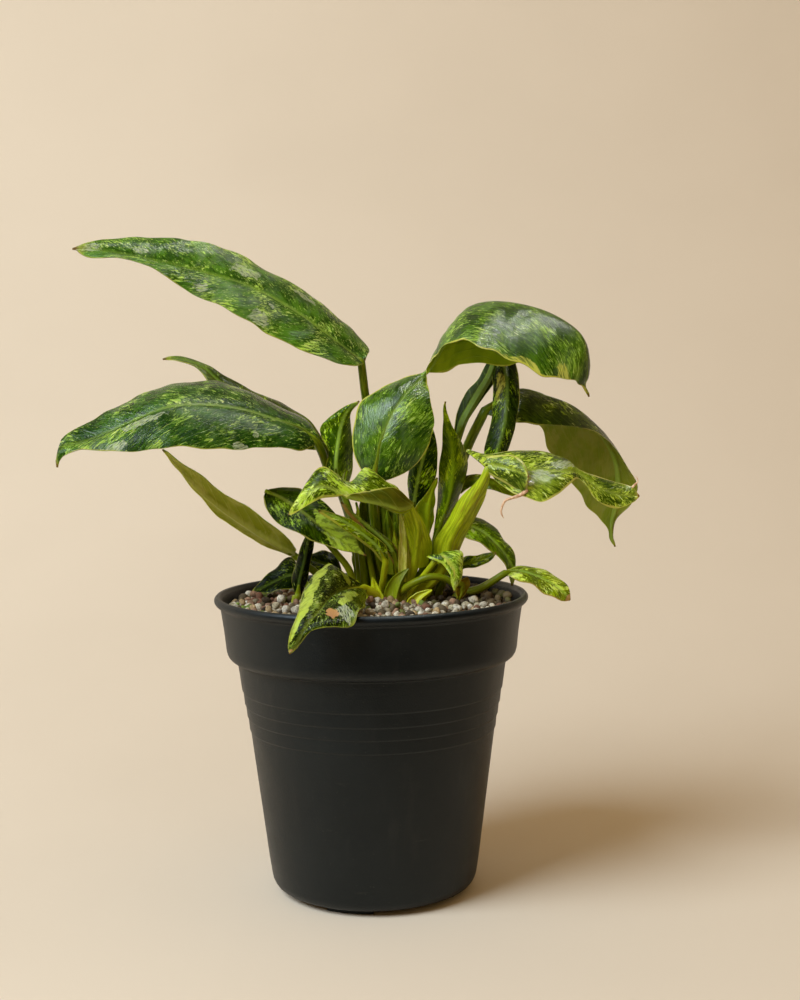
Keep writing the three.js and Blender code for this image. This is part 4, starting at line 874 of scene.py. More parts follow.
def leaf_under(name, tone):
    sheet = LeafSheet(name, tone)
    broad = sheet.noise(sheet.vector(sheet.along, sheet.across, 2.0), 1.1, 3.0)
    colour = sheet.tint(tone["under"], tone["under_fleck"], broad, 0.40, 0.62, 0.0, 0.6)
    veins = sheet.vein_lines()
    flecks, patches, _, _ = sheet.variegation()
    colour = sheet.lay(colour, tone["under_fleck"], flecks, 0.40)
    colour = sheet.lay(colour, tone["under_fleck"], patches, 0.35)
    colour = sheet.lay(colour, tone["rib"], veins, 0.18)
    colour = sheet.lay(colour, tone["rib"], sheet.step(sheet.far, 0.05, 0.16, 1.0, 0.0), 0.6)
    lighter = sheet.add(sheet.spot(sheet.silver), sheet.spot(sheet.yellow))
    colour = sheet.lay(colour, tone["under_fleck"], lighter, 0.5)
    colour = sheet.lay(colour, BROWN, sheet.spot(sheet.brown), 0.7)
    colour = sheet.dress_margin(colour)
    fine = sheet.noise(sheet.leaning, 26.0, 3.0)
    height = sheet.add(sheet.times(veins, 0.8), sheet.times(fine, 0.4))
    roughness = sheet.step(fine, 0.3, 0.7, 0.38, 0.52)
    return sheet.finish(colour, roughness, sheet.bump(height, 0.0003, 0.6), Specular_IOR_Level=0.10, **GLOW)


def leaf_edge(name, tone):
    sheet = Sheet(name)
    along, across, _ = sheet.uv("vein")
    mottle = sheet.noise(sheet.vector(along, across), 6.0, 3.0)
    colour = sheet.tint(tone["edge"], tone["mid"], mottle, 0.38, 0.54, 0.2, 0.95)
    burnt = sheet.noise(sheet.vector(along, across, 9.0), 1.2, 2.0)
    colour = sheet.tint(colour, TIP_BROWN, burnt, 0.58, 0.64, 0.0, 0.7)
    return sheet.finish(colour, 0.5, Specular_IOR_Level=0.3)


# Stalks: their two greens, the tone at the foot and how far it takes over there. The pale foot is partly the
# stalks' own colour and partly painted light on the crown
STALKS = {
    "dark": (paint(76, 98, 6), paint(114, 134, 14), paint(136, 150, 16), 0.6),
    "olive": (paint(80, 98, 6), paint(120, 136, 18), paint(140, 150, 18), 0.6),
    "lime": (paint(130, 148, 10), paint(178, 192, 30), paint(204, 212, 36), 0.9),
    "green": (paint(90, 118, 8), paint(134, 158, 24), paint(172, 184, 32), 0.9),
    "cream": (paint(160, 164, 44), paint(206, 202, 104), paint(180, 186, 60), 0.6),
}
STALK_RUST = paint(132, 108, 24)


def stalk_skin(name, tone):
    """Stalks and sheaths, streaked along their length and paler towards the grit, partly as painted light on
    the crown
    """
    sheet = Sheet(name)
    along, around, _ = sheet.uv("vein")
    _, _, height = sheet.parts(sheet.here())
    deep, light, foot, amount = STALKS[tone]
    streak = sheet.noise(sheet.vector(sheet.times(along, 0.10), around), 10.0, 4.0, 0.6)
    colour = sheet.tint(deep, light, streak, 0.40, 0.60)
    fleck = sheet.noise(sheet.vector(sheet.times(along, 0.35), around, 5.0), 8.0, 4.0)
    colour = sheet.tint(colour, deep, fleck, 0.56, 0.62, 0.0, 0.6)
    rust = sheet.noise(sheet.vector(sheet.times(along, 0.22), around, 8.0), 4.0, 5.0, 0.65)
    colour = sheet.tint(colour, STALK_RUST, rust, 0.54, 0.66, 0.0, 0.5)
    level = sheet.add(height, sheet.times(sheet.less(streak, 0.5), 0.03))
    # Paler towards the grit: partly the stalks' own colour, partly painted light
    colour = sheet.tint(colour, foot, level, 0.118, 0.148, amount, 0.0)
    colour = sheet.tint(colour, STALKS["cream"][1], level, 0.117, 0.1245, 0.6 * amount, 0.0)
    fine = sheet.noise(sheet.vector(sheet.times(along, 0.2), around), 30.0, 2.0)
    normal = sheet.bump(sheet.add(streak, sheet.times(fine, 0.3)), 0.0004, 0.6)
    roughness = sheet.step(streak, 0.3, 0.7, 0.30, 0.42)
    return sheet.finish(colour, roughness, normal, Specular_IOR_Level=0.18, **STALK_GLOW)


def pot_plastic():
    """Charcoal moulded plastic with a fine grain, faint rubbed marks and a little dust"""
    sheet = Sheet("nursery_plastic")
    here = sheet.here()
    x, y, z = sheet.parts(here)
    cloud = sheet.noise(here, 28.0, 4.0, 0.6)
    drag = sheet.noise(sheet.vector(x, y, sheet.times(z, 0.18)), 120.0, 3.0)
    colour = sheet.tint((0.0040, 0.0052, 0.0050), (0.0072, 0.0086, 0.0080), cloud, 0.35, 0.68)
    colour = sheet.tint(colour, (0.022, 0.021, 0.018), drag, 0.58, 0.78, 0.0, 0.30)
    dust = sheet.noise(here, 900.0, 2.0, 0.7)
    colour = sheet.tint(colour, (0.080, 0.072, 0.056), dust, 0.70, 0.76, 0.0, 0.30)
    scuff = sheet.noise(sheet.vector(x, y, sheet.times(z, 6.0)), 60.0, 5.0, 0.7)
    colour = sheet.tint(colour, (0.045, 0.042, 0.034), scuff, 0.64, 0.74, 0.0, 0.25)
    grain = sheet.noise(here, 1600.0, 3.0, 0.6)
    rings = sheet.noise(sheet.vector(0.0, 0.0, z), 420.0, 3.0)
    height = sheet.add(grain, sheet.add(sheet.times(rings, 0.5), sheet.times(cloud, 1.6)))
    roughness = sheet.step(cloud, 0.3, 0.7, 0.40, 0.50)
    gloss = {"Specular_IOR_Level": 0.31, "Specular_Tint": (0.9, 1.0, 1.06, 1.0)}
    return sheet.finish(colour, roughness, sheet.bump(height, 0.00018, 0.6), **gloss)


def pebble_skin(name, porous):
    """Grit grains: each has its own colour in its marks, with pores and stains"""
    sheet = Sheet(name)
    here = sheet.here()
    mottle = sheet.noise(here, 620.0, 4.0, 0.65)
    colour = sheet.tint(sheet.marks()["Color"], (0.10, 0.075, 0.05), mottle, 0.34, 0.62, 0.6, 0.0)
    holes = sheet.step(sheet.cells(here, 1500.0), 0.10, 0.32, porous, 0.0)
    colour = sheet.lay(colour, (0.05, 0.038, 0.026), holes, 0.55)
    stain = sheet.noise(here, 95.0, 3.0)
    colour = sheet.tint(colour, (0.13, 0.085, 0.045), stain, 0.58, 0.72, 0.0, 0.5)
    elsewhere = sheet.put("VectorMath", {0: here, 1: (0.3, 0.1, 0.2)}, operation="ADD").outputs[0]
    colour = sheet.tint(colour, (0.09, 0.13, 0.02), sheet.noise(elsewhere, 60.0, 3.0), 0.64, 0.74, 0.0, 0.35)
    height = sheet.add(sheet.times(mottle, 1.2), sheet.times(holes, -1.0))
    return sheet.finish(colour, 0.88, sheet.bump(height, 0.0003, 0.9), Specular_IOR_Level=0.25)


def soil_skin():
    sheet = Sheet("potting_mix")
    here = sheet.here()
    crumb = sheet.noise(here, 260.0, 6.0, 0.7)
    colour = sheet.tint((0.012, 0.008, 0.005), (0.055, 0.034, 0.020), crumb, 0.36, 0.64)
    chips = sheet.cells(here, 330.0)
    colour = sheet.tint(colour, (0.11, 0.07, 0.04), chips, 0.08, 0.22, 0.7, 0.0)
    height = sheet.add(crumb, sheet.times(chips, -0.6))
    return sheet.finish(colour, 0.95, sheet.bump(height, 0.0012), Specular_IOR_Level=0.2)


def bed_skin():
    sheet = Sheet("grit_bed")
    crumb = sheet.noise(sheet.here(), 500.0, 5.0, 0.7)
    colour = sheet.tint((0.010, 0.007, 0.004), (0.050, 0.034, 0.020), crumb, 0.36, 0.64)
    return sheet.finish(colour, 0.95, sheet.bump(crumb, 0.0006), Specular_IOR_Level=0.2)


def dried_skin():
    sheet = Sheet("dried_tip")
    along, around, _ = sheet.uv("vein")
    streak = sheet.noise(sheet.vector(sheet.times(along, 0.5), around), 14.0, 3.0)
    colour = sheet.tint((0.78, 0.56, 0.36), (0.50, 0.26, 0.15), streak, 0.40, 0.62)
    return sheet.finish(colour, 0.6, sheet.bump(streak, 0.0003, 0.6), Specular_IOR_Level=0.3)


def studio_paper():
    sheet = Sheet("studio_paper")
    here = sheet.here()
    fibre = sheet.noise(here, 240.0, 4.0, 0.7)
    colour = sheet.tint(PAPER_WARM, PAPER_PALE, sheet.noise(here, 2.2, 3.0), 0.35, 0.65)
    return sheet.finish(colour, 0.9, sheet.bump(fibre, 0.0002, 0.3), Specular_IOR_Level=0.15)


# What every leaf starts from. Colours are screen values. flecks, patches, specks and lace run from
# 0, none, to 1, all over, and margin is the width of the pale edge in millimetres.
# mist lays that grey-green haze, partly painted sheen, on the leaves that catch the light
PLAIN = {"gain": 1.5, "mist_and_sheen": 0.0, "solid": 0.2, "gloss": 0.14, "spot": (190, 190, 84)}
TONES = {
    "dark": dict(
        deep=(28, 54, 3), mid=(66, 96, 10), fleck=(138, 160, 26), cream=(190, 196, 120), rib=(118, 136, 62),
        under=(84, 88, 10), under_fleck=(106, 104, 18), edge=(160, 152, 70),
        flecks=0.40, patches=0.10, specks=0.50, lace=0.25, margin=0.25,
    ),
    "lime": dict(
        deep=(54, 68, 2), mid=(100, 118, 9), fleck=(165, 180, 76), cream=(205, 208, 128), rib=(150, 158, 66),
        under=(86, 94, 6), under_fleck=(122, 120, 15), edge=(186, 176, 84),
        flecks=0.50, patches=0.35, specks=0.60, lace=0.4, margin=0.45,
    ),
    "olive": dict(
        deep=(42, 56, 2), mid=(64, 78, 4), fleck=(112, 122, 14), cream=(150, 150, 60), rib=(96, 106, 11),
        under=(70, 76, 5), under_fleck=(104, 102, 14), edge=(130, 120, 19),
        flecks=0.35, patches=0.35, specks=0.3, lace=0.1, margin=0.25,
    ),
}

# What single leaves have in place of that, some of them another stalk, and their marks: place along
# the blade from 0 to 1, millimetres from the rib with the left half negative, half length and half
# width
LOOKS = {
    "leaf_upper_left": dict(
        gain=1.45, gloss=0.17, deep=(46, 76, 18), mid=(72, 104, 30), fleck=(156, 172, 90), flecks=0.20,
        patches=0.05, specks=0.50, margin=0.2, mist_and_sheen=0.36, silver=[(0.49, 6.9, 6.5, 2.6),
        (0.34, 10.4, 6.5, 1.5), (0.39, -13.6, 4.2, 3.2), (0.91, 0.5, 3.6, 2.4), (0.54, -10.2, 2.6, 2.2),
        (0.38, -5.0, 2.2, 1.0), (0.75, 3.4, 3.0, 1.4)], yellow=[(0.84, -7.4, 6.0, 1.3)],
    ),
    # leaf_left's silver marks near its tip are partly painted highlights, where light glances off the blade
    "leaf_left": dict(
        gain=1.1, gloss=0.18, deep=(34, 64, 14), mid=(54, 86, 22), fleck=(130, 150, 70), specks=0.45,
        flecks=0.34, mist_and_sheen=0.14, silver=[(0.62, -11.8, 7.5, 2.0), (0.30, -17.6, 4.2, 1.6),
        (0.26, -11.6, 1.6, 1.4), (0.18, -13.8, 2.2, 1.0), (0.56, -4.0, 9.0, 2.2)],
    ),
    "leaf_left_behind": dict(gain=1.7, deep=(52, 64, 4), mid=(72, 82, 9), flecks=0.1, specks=0.2),
    "leaf_lower_left": dict(
        gain=2.3, under=(92, 92, 17), under_fleck=(124, 116, 62), flecks=0.3, rib=(120, 116, 60),
    ),
    # leaf_twisted_right's bright yellow-green underside is partly painted light, for the light that shines
    # through the blade there
    "leaf_twisted_right": dict(
        gain=1.0, gloss=0.38, deep=(44, 74, 6), mid=(74, 104, 15), fleck=(140, 164, 64),
        under=(128, 144, 8), under_fleck=(156, 166, 20), margin=0.45, edge=(196, 184, 84), lace=0.8,
        patches=0.22, flecks=0.30, specks=0.32, mist_and_sheen=0.14, yellow=[(0.77, 24.0, 6.0, 3.2),
        (0.67, -17.0, 1.0, 4.5), (0.70, -14.5, 3.6, 0.8), (0.54, -11.0, 1.6, 4.0), (0.69, 32.5, 9.0, 1.9),
        (0.60, 33.0, 9.0, 1.2)],
    ),
    "leaf_upright_left": dict(gain=2.6, deep=(34, 52, 2), mid=(58, 74, 6), flecks=0.25, specks=0.3),
    "leaf_upright_right": dict(gain=2.4, deep=(20, 38, 2), mid=(44, 60, 5), flecks=0.35, specks=0.3),
    "leaf_spear": dict(
        gain=2.8, deep=(46, 60, 2), mid=(64, 78, 4), under=(46, 60, 2), under_fleck=(66, 80, 6),
        rib=(80, 92, 9),
    ),
    "leaf_olive_inner": dict(gain=3.8, under=(70, 82, 5), under_fleck=(104, 114, 12), margin=0.8),
    "leaf_arched_right": dict(
        gain=1.2, deep=(20, 34, 2), mid=(42, 58, 6), fleck=(120, 140, 22), flecks=0.3, specks=0.3,
        under=(34, 46, 3), under_fleck=(56, 68, 7), yellow=[(0.60, 3.0, 5.5, 2.4), (0.65, 4.6, 3.4, 1.0)],
    ),
    # leaf_right's lighter underside is partly painted light, for light bounced and shone through onto it
    "leaf_right": dict(
        gain=1.6, deep=(42, 56, 7), mid=(58, 72, 12), fleck=(100, 116, 20), flecks=0.35, specks=0.3,
        under=(106, 110, 30), under_fleck=(130, 122, 62), margin=0.3,
    ),
    "leaf_yellow_right": dict(
        gain=1.05, gloss=0.3, deep=(62, 82, 8), mid=(126, 138, 40), fleck=(176, 182, 70),
        cream=(212, 216, 146), under=(92, 96, 7), under_fleck=(132, 134, 18), margin=0.7,
        edge=(200, 186, 106), silver=[(0.50, -3.3, 5.5, 2.2), (0.36, 1.0, 3.5, 1.6), (0.30, 5.0, 1.0, 4.5)],
        brown=[(0.985, 0.0, 1.0, 1.5)],
    ),
    "leaf_small_tip": dict(gain=1.5, under=(96, 92, 15), under_fleck=(128, 112, 60), deep=(80, 78, 10)),
    "leaf_strap_right": dict(
        gain=3.0, deep=(46, 62, 3), mid=(74, 92, 9), fleck=(110, 130, 19), flecks=0.3, specks=0.45,
    ),
    "leaf_low_right": dict(
        gain=2.2, deep=(74, 82, 9), mid=(112, 124, 18), fleck=(164, 172, 80), flecks=0.6,
        edge=(150, 118, 60), brown=[(0.97, 0.0, 1.8, 4.0)],
    ),
    "leaf_small_bright": dict(
        gain=1.5, gloss=0.3, deep=(40, 62, 2), mid=(84, 110, 6), cream=(226, 228, 160), margin=0.8,
        flecks=0.70, lace=0.9, edge=(176, 186, 70), yellow=[(0.50, 0.8, 6.0, 0.7), (0.30, 0.4, 3.4, 0.6)],
    ),
    "leaf_brown_low": dict(
        gain=1.5, deep=(88, 78, 7), mid=(118, 108, 15), under=(104, 90, 9), under_fleck=(130, 112, 18),
        edge=(120, 92, 16), margin=0.8,
    ),
    "leaf_front": dict(
        gain=0.42, gloss=0.08, deep=(42, 54, 2), mid=(72, 88, 6), fleck=(156, 174, 74), flecks=0.50,
        patches=0.5, margin=0.6, edge=(164, 164, 72), spot=(170, 188, 74), solid=0.6, stalk="lime",
        yellow=[(0.24, 18.0, 7.0, 4.0), (0.34, 15.0, 7.0, 3.4), (0.43, 11.8, 7.0, 3.0),
        (0.52, 8.8, 7.0, 2.6), (0.61, 6.4, 7.0, 2.2), (0.72, 4.0, 7.0, 1.6), (0.17, 6.0, 5.0, 4.5),
        (0.26, -5.0, 9.0, 2.0), (0.36, -8.0, 8.0, 2.2)], silver=[(0.45, -10.2, 5.0, 3.6)],
        brown=[(0.49, -5.6, 3.2, 2.6), (0.99, 0.0, 1.8, 1.8)],
    ),
    "leaf_mid_left": dict(
        gain=0.66, gloss=0.05, deep=(36, 54, 3), mid=(74, 98, 8), fleck=(160, 188, 50), flecks=0.04,
        patches=0.0, specks=0.2, solid=0.4, spot=(170, 196, 64), stalk="green",
        yellow=[(0.60, -3.0, 12.0, 4.0), (0.80, 0.4, 12.0, 6.0)],
    ),
    "leaf_gutter_left": dict(
        gain=1.0, deep=(50, 64, 2), mid=(84, 100, 6), fleck=(166, 182, 56), flecks=0.70, specks=0.8,
        under=(78, 82, 5), under_fleck=(112, 102, 13), margin=0.6,
    ),
    "leaf_diagonal": dict(
        gain=2.8, deep=(46, 58, 2), mid=(86, 100, 6), fleck=(130, 146, 22), flecks=0.4, specks=0.4,
        margin=0.8, edge=(150, 140, 60), under=(84, 96, 6), stalk="lime",
    ),
    "leaf_brown_edge": dict(
        gain=2.4, deep=(40, 50, 2), mid=(72, 84, 6), fleck=(110, 122, 18), flecks=0.3, margin=1.0,
        edge=(158, 118, 72), under=(72, 82, 6), stalk="green",
    ),
    "leaf_low_left": dict(gain=0.6, gloss=0.08, deep=(18, 34, 2), mid=(30, 46, 3), flecks=0.05, specks=0.2),
    "leaf_dark_strap": dict(
        gain=0.35, gloss=0.06, deep=(12, 26, 1), mid=(24, 38, 3), flecks=0.05, specks=0.15,
    ),
    "leaf_dim_left": dict(gain=1.0, gloss=0.05, deep=(20, 30, 2), mid=(36, 44, 5), flecks=0.1),
}

# The kinds of mark, in the order of their channels. The first holds silver patches and, in places such as
# leaf_left, painted sheen
MARK_KINDS = ("silver", "yellow", "brown")

# How much red, green and blue every leaf keeps of its colours
LEAF_HUE = np.array([0.90, 1.02, 0.80])
# A colour's own share, and how far the leaf's gain reaches it
TONE_REACH = {
    "deep": (0.70, 1.0), "mid": (1.05, 1.0), "rib": (1.2, 0.8), "under": (1.0, 1.0),
    "under_fleck": (1.0, 1.0), "fleck": (1.3, 0.7), "cream": (1.1, 0.2), "edge": (1.0, 0.5),
}

# Where a leaf's end has dried and curled: points, then the girth along them
DRIED_ENDS = {
    "leaf_yellow_right": [
        ([(63, -22.2, 168), (60, -22.8, 166), (56.8, -23.5, 165), (54, -24, 164), (52.6, -24, 161.3),
          (52.3, -24, 159), (53.3, -24, 157)], (0.8, 0.75, 0.6, 0.5, 0.45, 0.35, 0.15)),
        ([(107.5, -9, 167.5), (109, -9, 169), (110, -9, 170.2), (109.4, -9, 172)], (0.5, 0.4, 0.25, 0.1)),
    ],
}

# The materials of a leaf, by slot
UPPER, UNDER, EDGE, STALK, DRY = range(5)
LEAF_FACES = (UPPER, UNDER, EDGE)
THIN_GIRTH = 0.4
WING_SEED = 40
FLAP_SEED = 60


def make_leaf(seed, name, base, girth, stem, rows):
    looks = {**PLAIN, **TONES[base], **LOOKS.get(name, {})}
    tone = dict(looks, spot=paint(*looks["spot"]))
    for key, (share, power) in TONE_REACH.items():
        light = LEAF_HUE * paint(*looks[key]) * share * looks["gain"] ** power
        tone[key] = tuple(float(c) for c in light)
    shape = Shape()
    blade(shape, rows, seed, girth[1], LEAF_FACES, marks=[looks.get(kind, ()) for kind in MARK_KINDS])
    stalk(shape, stem, girth, rows, STALK, seed)
    if name in WINGS:
        blade(shape, WINGS[name], seed + WING_SEED, THIN_GIRTH, (STALK,) * 3, detail=0.4, ruffle=0.0)
    if name in FLAPS:
        blade(shape, FLAPS[name], seed + FLAP_SEED, THIN_GIRTH, LEAF_FACES, ruffle=0.0)
    for points, sizes in DRIED_ENDS.get(name, ()):
        rod_through(shape, points, sizes, 0.9, 10, DRY, seed, 10)
    skins = [
        leaf_upper(name + "_upper", tone),
        leaf_under(name + "_under", tone),
        leaf_edge(name + "_edge", tone),
        STALK_SKINS[looks.get("stalk", base)],
        DRIED,
    ]
    piece = shape.build(name + "_living", skins)
    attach(piece, "root")
    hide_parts(name)


DRIED = dried_skin()
STALK_SKINS = {tone: stalk_skin("stalk_" + tone, tone) for tone in STALKS}
for order, leaf in enumerate(LEAVES):
    make_leaf(order + 1, *leaf)


def rounded(profile, steps=4):
    """A profile of radius, height and corner radius, with its corners turned into arcs"""
    points = []
    count = len(profile)
    for i, (radius, height, corner) in enumerate(profile):
        here = np.array([radius, height])
        if corner <= 0:
            points.append(here)
            continue
        before, after = np.array(profile[i - 1][:2]), np.array(profile[(i + 1) % count][:2])
        back, on = before - here, after - here
        cut = min(corner, 0.45 * np.linalg.norm(back), 0.45 * np.linalg.norm(on))
        start, end = here + unit(back) * cut, here + unit(on) * cut
        for t in np.arange(steps + 1) / steps:
            points.append((1 - t) ** 2 * start + 2 * t * (1 - t) * here + t**2 * end)
    return points


def lathe(name, profile, steps, material):
    """Turns a profile, which starts and ends on the axis, about Z"""
    angles = turns(steps)
    points, starts = [], []
    for radius, height in profile:
        on_axis = radius < 1e-6
        starts.append((len(points), on_axis))
        if on_axis:
            points.append((0.0, 0.0, height))
        else:
            points += [(x * radius, y * radius, height) for x, y in zip(np.cos(angles), np.sin(angles))]
    faces = []
    for (low, low_pole), (high, high_pole) in zip(starts, starts[1:]):
        for j in range(steps):
            k = (j + 1) % steps
            if low_pole:
                faces.append((low, high + k, high + j))
            elif high_pole:
                faces.append((low + j, low + k, high))
            else:
                faces.append((low + j, low + k, high + k, high + j))
    return new_piece(name, points, faces, [material], 40)


def cut_away(piece, cutter):
    modifier = piece.modifiers.new("cut", "BOOLEAN")
    modifier.operation, modifier.solver, modifier.object = "DIFFERENCE", "EXACT", cutter
    graph = bpy.context.evaluated_depsgraph_get()
    mesh = bpy.data.meshes.new_from_object(piece.evaluated_get(graph))
    piece.modifiers.clear()
    piece.data = mesh
    bpy.data.objects.remove(cutter)


def foot_gap(start, span, steps=14):
    """A piece of a ring, in the shape of the gap between two feet"""
    inner, outer = FOOT_RADIUS - FOOT_WIDTH - 2, FOOT_RADIUS + 2
    low, high = -1, FOOT_HEIGHT - 0.1
    points, faces = [], []
    for angle in start + span * np.arange(steps + 1) / steps:
        for radius, height in ((inner, low), (outer, low), (outer, high), (inner, high)):
            points.append((radius * math.cos(angle), radius * math.sin(angle), height))
    for i in range(0, 4 * steps, 4):
        for j in range(4):
            k = (j + 1) % 4
            faces.append((i + k, i + j, i + 4 + j, i + 4 + k))
    last = steps * 4
    return new_piece("gap", points, faces + [(0, 1, 2, 3), (last + 3, last + 2, last + 1, last)])


def drain_hole(angle, steps=24):
    x = DRAIN_CIRCLE * math.cos(angle) + DRAIN_RADIUS * np.cos(turns(steps))
    y = DRAIN_CIRCLE * math.sin(angle) + DRAIN_RADIUS * np.sin(turns(steps))
    points = [(px, py, height) for height in (-3.0, 8.0) for px, py in zip(x, y)]
    faces = [tuple(range(steps))[::-1], tuple(range(steps, 2 * steps))]
    faces += [(j, (j + 1) % steps, steps + (j + 1) % steps, steps + j) for j in range(steps)]
    return new_piece("drain", points, faces)


def make_pot():
    profile = [
        (0, 0, 0), (BOSS_RADIUS, 0, 0.3), (BOSS_RADIUS + 0.6, FOOT_HEIGHT, 0.2),
        (FOOT_RADIUS - FOOT_WIDTH - 0.4, FOOT_HEIGHT, 0.2), (FOOT_RADIUS - FOOT_WIDTH, 0, 0.4),
        (FOOT_RADIUS, 0, 0.5), (FOOT_RADIUS + 0.3, FOOT_HEIGHT, 0.2),
        (BODY_LOW_RADIUS - 4.8, FOOT_HEIGHT, 1.2), (BODY_LOW_RADIUS - 2.6, FOOT_HEIGHT + 1, 1.2),
        (BODY_LOW_RADIUS - 1.2, FOOT_HEIGHT + 3.4, 2.0), (BODY_LOW_RADIUS, BODY_LOW_Z, 3.0),
    ]
    for height, radius in RING_STEPS:
        profile += [(radius, height, 0.25), (radius + RING_STEP_DEPTH, height + 0.6, 0.25)]
    profile += [
        (BODY_TOP_RADIUS, COLLAR_LOW_Z - 0.2, 0.6),
        (COLLAR_RADIUS - 3, COLLAR_LOW_Z + 0.4, 0.8), (COLLAR_RADIUS - 1.5, COLLAR_LOW_Z + 1.8, 1.0),
        (COLLAR_RADIUS - 0.8, COLLAR_LOW_Z + 4, 2.0), (COLLAR_RADIUS, COLLAR_LOW_Z + 12, 4.0),
        (LIP_RADIUS - 2.5, POT_HEIGHT - 4.4, 0.8), (LIP_RADIUS - 0.8, POT_HEIGHT - 3.4, 0.7),
        (LIP_RADIUS, POT_HEIGHT - 2.2, 0.7), (LIP_RADIUS - 0.1, POT_HEIGHT - 1, 0.5),
        (RIM_TOP_RADIUS, POT_HEIGHT, 0.3), (RIM_TOP_RADIUS - 0.8 * WALL, POT_HEIGHT - 0.1, 0.25),
        (RIM_TOP_RADIUS - 1.5 * WALL, POT_HEIGHT - 1.6, 0.5), (COLLAR_RADIUS - 0.2, POT_HEIGHT - 6, 2.0),
        (COLLAR_RADIUS - WALL - 1.2, COLLAR_LOW_Z + 3.4, 2.0),
        (BODY_TOP_RADIUS - WALL - 0.3, COLLAR_LOW_Z - 2.4, 2.0), (BODY_LOW_RADIUS - WALL, BODY_LOW_Z, 2.0),
        (BODY_LOW_RADIUS - WALL - 1.6, FOOT_HEIGHT + WALL, 1.0), (0, FOOT_HEIGHT + WALL, 0),
    ]
    pot = lathe("pot_moulded", rounded(profile), POT_SIDES, pot_plastic())
    pitch = 2 * np.pi / FOOT_COUNT
    for i in range(FOOT_COUNT):
        cut_away(pot, foot_gap(FIRST_FOOT_ANGLE + FOOT_SPAN / 2 + i * pitch, pitch - FOOT_SPAN))
    for i in range(DRAIN_COUNT):
        cut_away(pot, drain_hole((i + 0.5) * 2 * np.pi / DRAIN_COUNT))
    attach(pot, "root")
    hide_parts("pot")


make_pot()
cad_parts["potting_mix"].data.materials.clear()
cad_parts["potting_mix"].data.materials.append(soil_skin())

# The grit: grains of about this radius, loosely packed, with some lying on top of the rest. Their
# colours are screen values, each with its share of the grains.
GRIT_SEED = 21
GRAIN_RADIUS = 1.72
GRAIN_SPREAD = 0.22
SMALLEST_GRAIN = 1.05
LARGEST_GRAIN = 2.35
GRAIN_GAP = 1.9
SPREAD_ROUNDS = 40
SPREAD_SHARE = 0.35
STALK_ROOM = 0.6
GRAIN_COUNT = 1150
TOP_GRAINS = 330
LAYER_RISE, LAYER_SCATTER = -0.5, 0.45
TOP_RISE, TOP_SCATTER = 1.5, 0.4
TOP_STRAY = 0.9
EDGE_ROOM = 2.2
SWELL_HEIGHT, SWELL_LENGTH, SWELL_SEED = 0.8, 40.0, 5
GRAIN_CELLS = 4
PALE, BROWN_GRAIN, DARK_GRAIN = 0, 1, 2
GRAIN_COLOURS = [
    (0.24, PALE, (202, 194, 172)), (0.16, PALE, (172, 162, 134)), (0.12, PALE, (226, 220, 202)),
    (0.14, BROWN_GRAIN, (160, 124, 98)), (0.10, BROWN_GRAIN, (122, 82, 62)),
    (0.08, BROWN_GRAIN, (176, 150, 108)), (0.08, DARK_GRAIN, (92, 80, 56)),
    (0.04, DARK_GRAIN, (112, 136, 50)), (0.04, DARK_GRAIN, (58, 46, 30)),
]
# Brown crumbs lie over the grit beyond the stalks on the right; their dark colours are partly painted shade
# of that shaded side
LITTER_AND_SHADE_COLOURS = [(54, 40, 18), (72, 56, 26), (40, 30, 14), (80, 76, 32), (96, 80, 46)]
LITTER_AND_SHADE_FROM = (22.0, -14.0)
LITTER_AND_SHADE_SHARE = 0.95
LITTER_AND_SHADE_STRAY = 2.5
# The dark crumbs under the grains: rings and sides of their disc, and how far it lies below the top
BED_RINGS = 46
BED_SIDES = 150
BED_SINK = 1.9
BED_TAPER = 0.975


def grain_ball():
    """A round grain's points on the unit ball, and its faces, from a cube"""
    lookup, points, faces = {}, [], []
    bend = [math.tan((2 * i / GRAIN_CELLS - 1) * math.pi / 4) for i in range(GRAIN_CELLS + 1)]

    def index(point):
        key = tuple(round(float(c), 5) for c in point)
        if key not in lookup:
            lookup[key] = len(points)
            points.append(key)
        return lookup[key]

    for axis in range(3):
        for sign in (-1, 1):
            for cell in range(GRAIN_CELLS**2):
                i, j = divmod(cell, GRAIN_CELLS)
                quad = []
                for di, dj in ((0, 0), (1, 0), (1, 1), (0, 1)):
                    quad.append(index(np.roll([sign, bend[i + di], bend[j + dj]], axis)))
                faces.append(quad if sign > 0 else quad[::-1])
    return unit(np.array(points)), faces


def stalk_places():
    """Where each stalk and young leaf passes the top of the grit, with its girth there"""
    stems = [(stem, girth[0]) for _, _, girth, stem, _ in LEAVES]
    stems += [(points, girth[1]) for points, girth in SPEARS]
    places = []
    for points, girth in stems:
        path = curve_through(points, np.linspace(0, 1, 60))
        spot = path[np.argmin(np.abs(path[:, 2] - GRIT_TOP))]
        places.append((spot[0], spot[1], girth))
    return np.array(places)


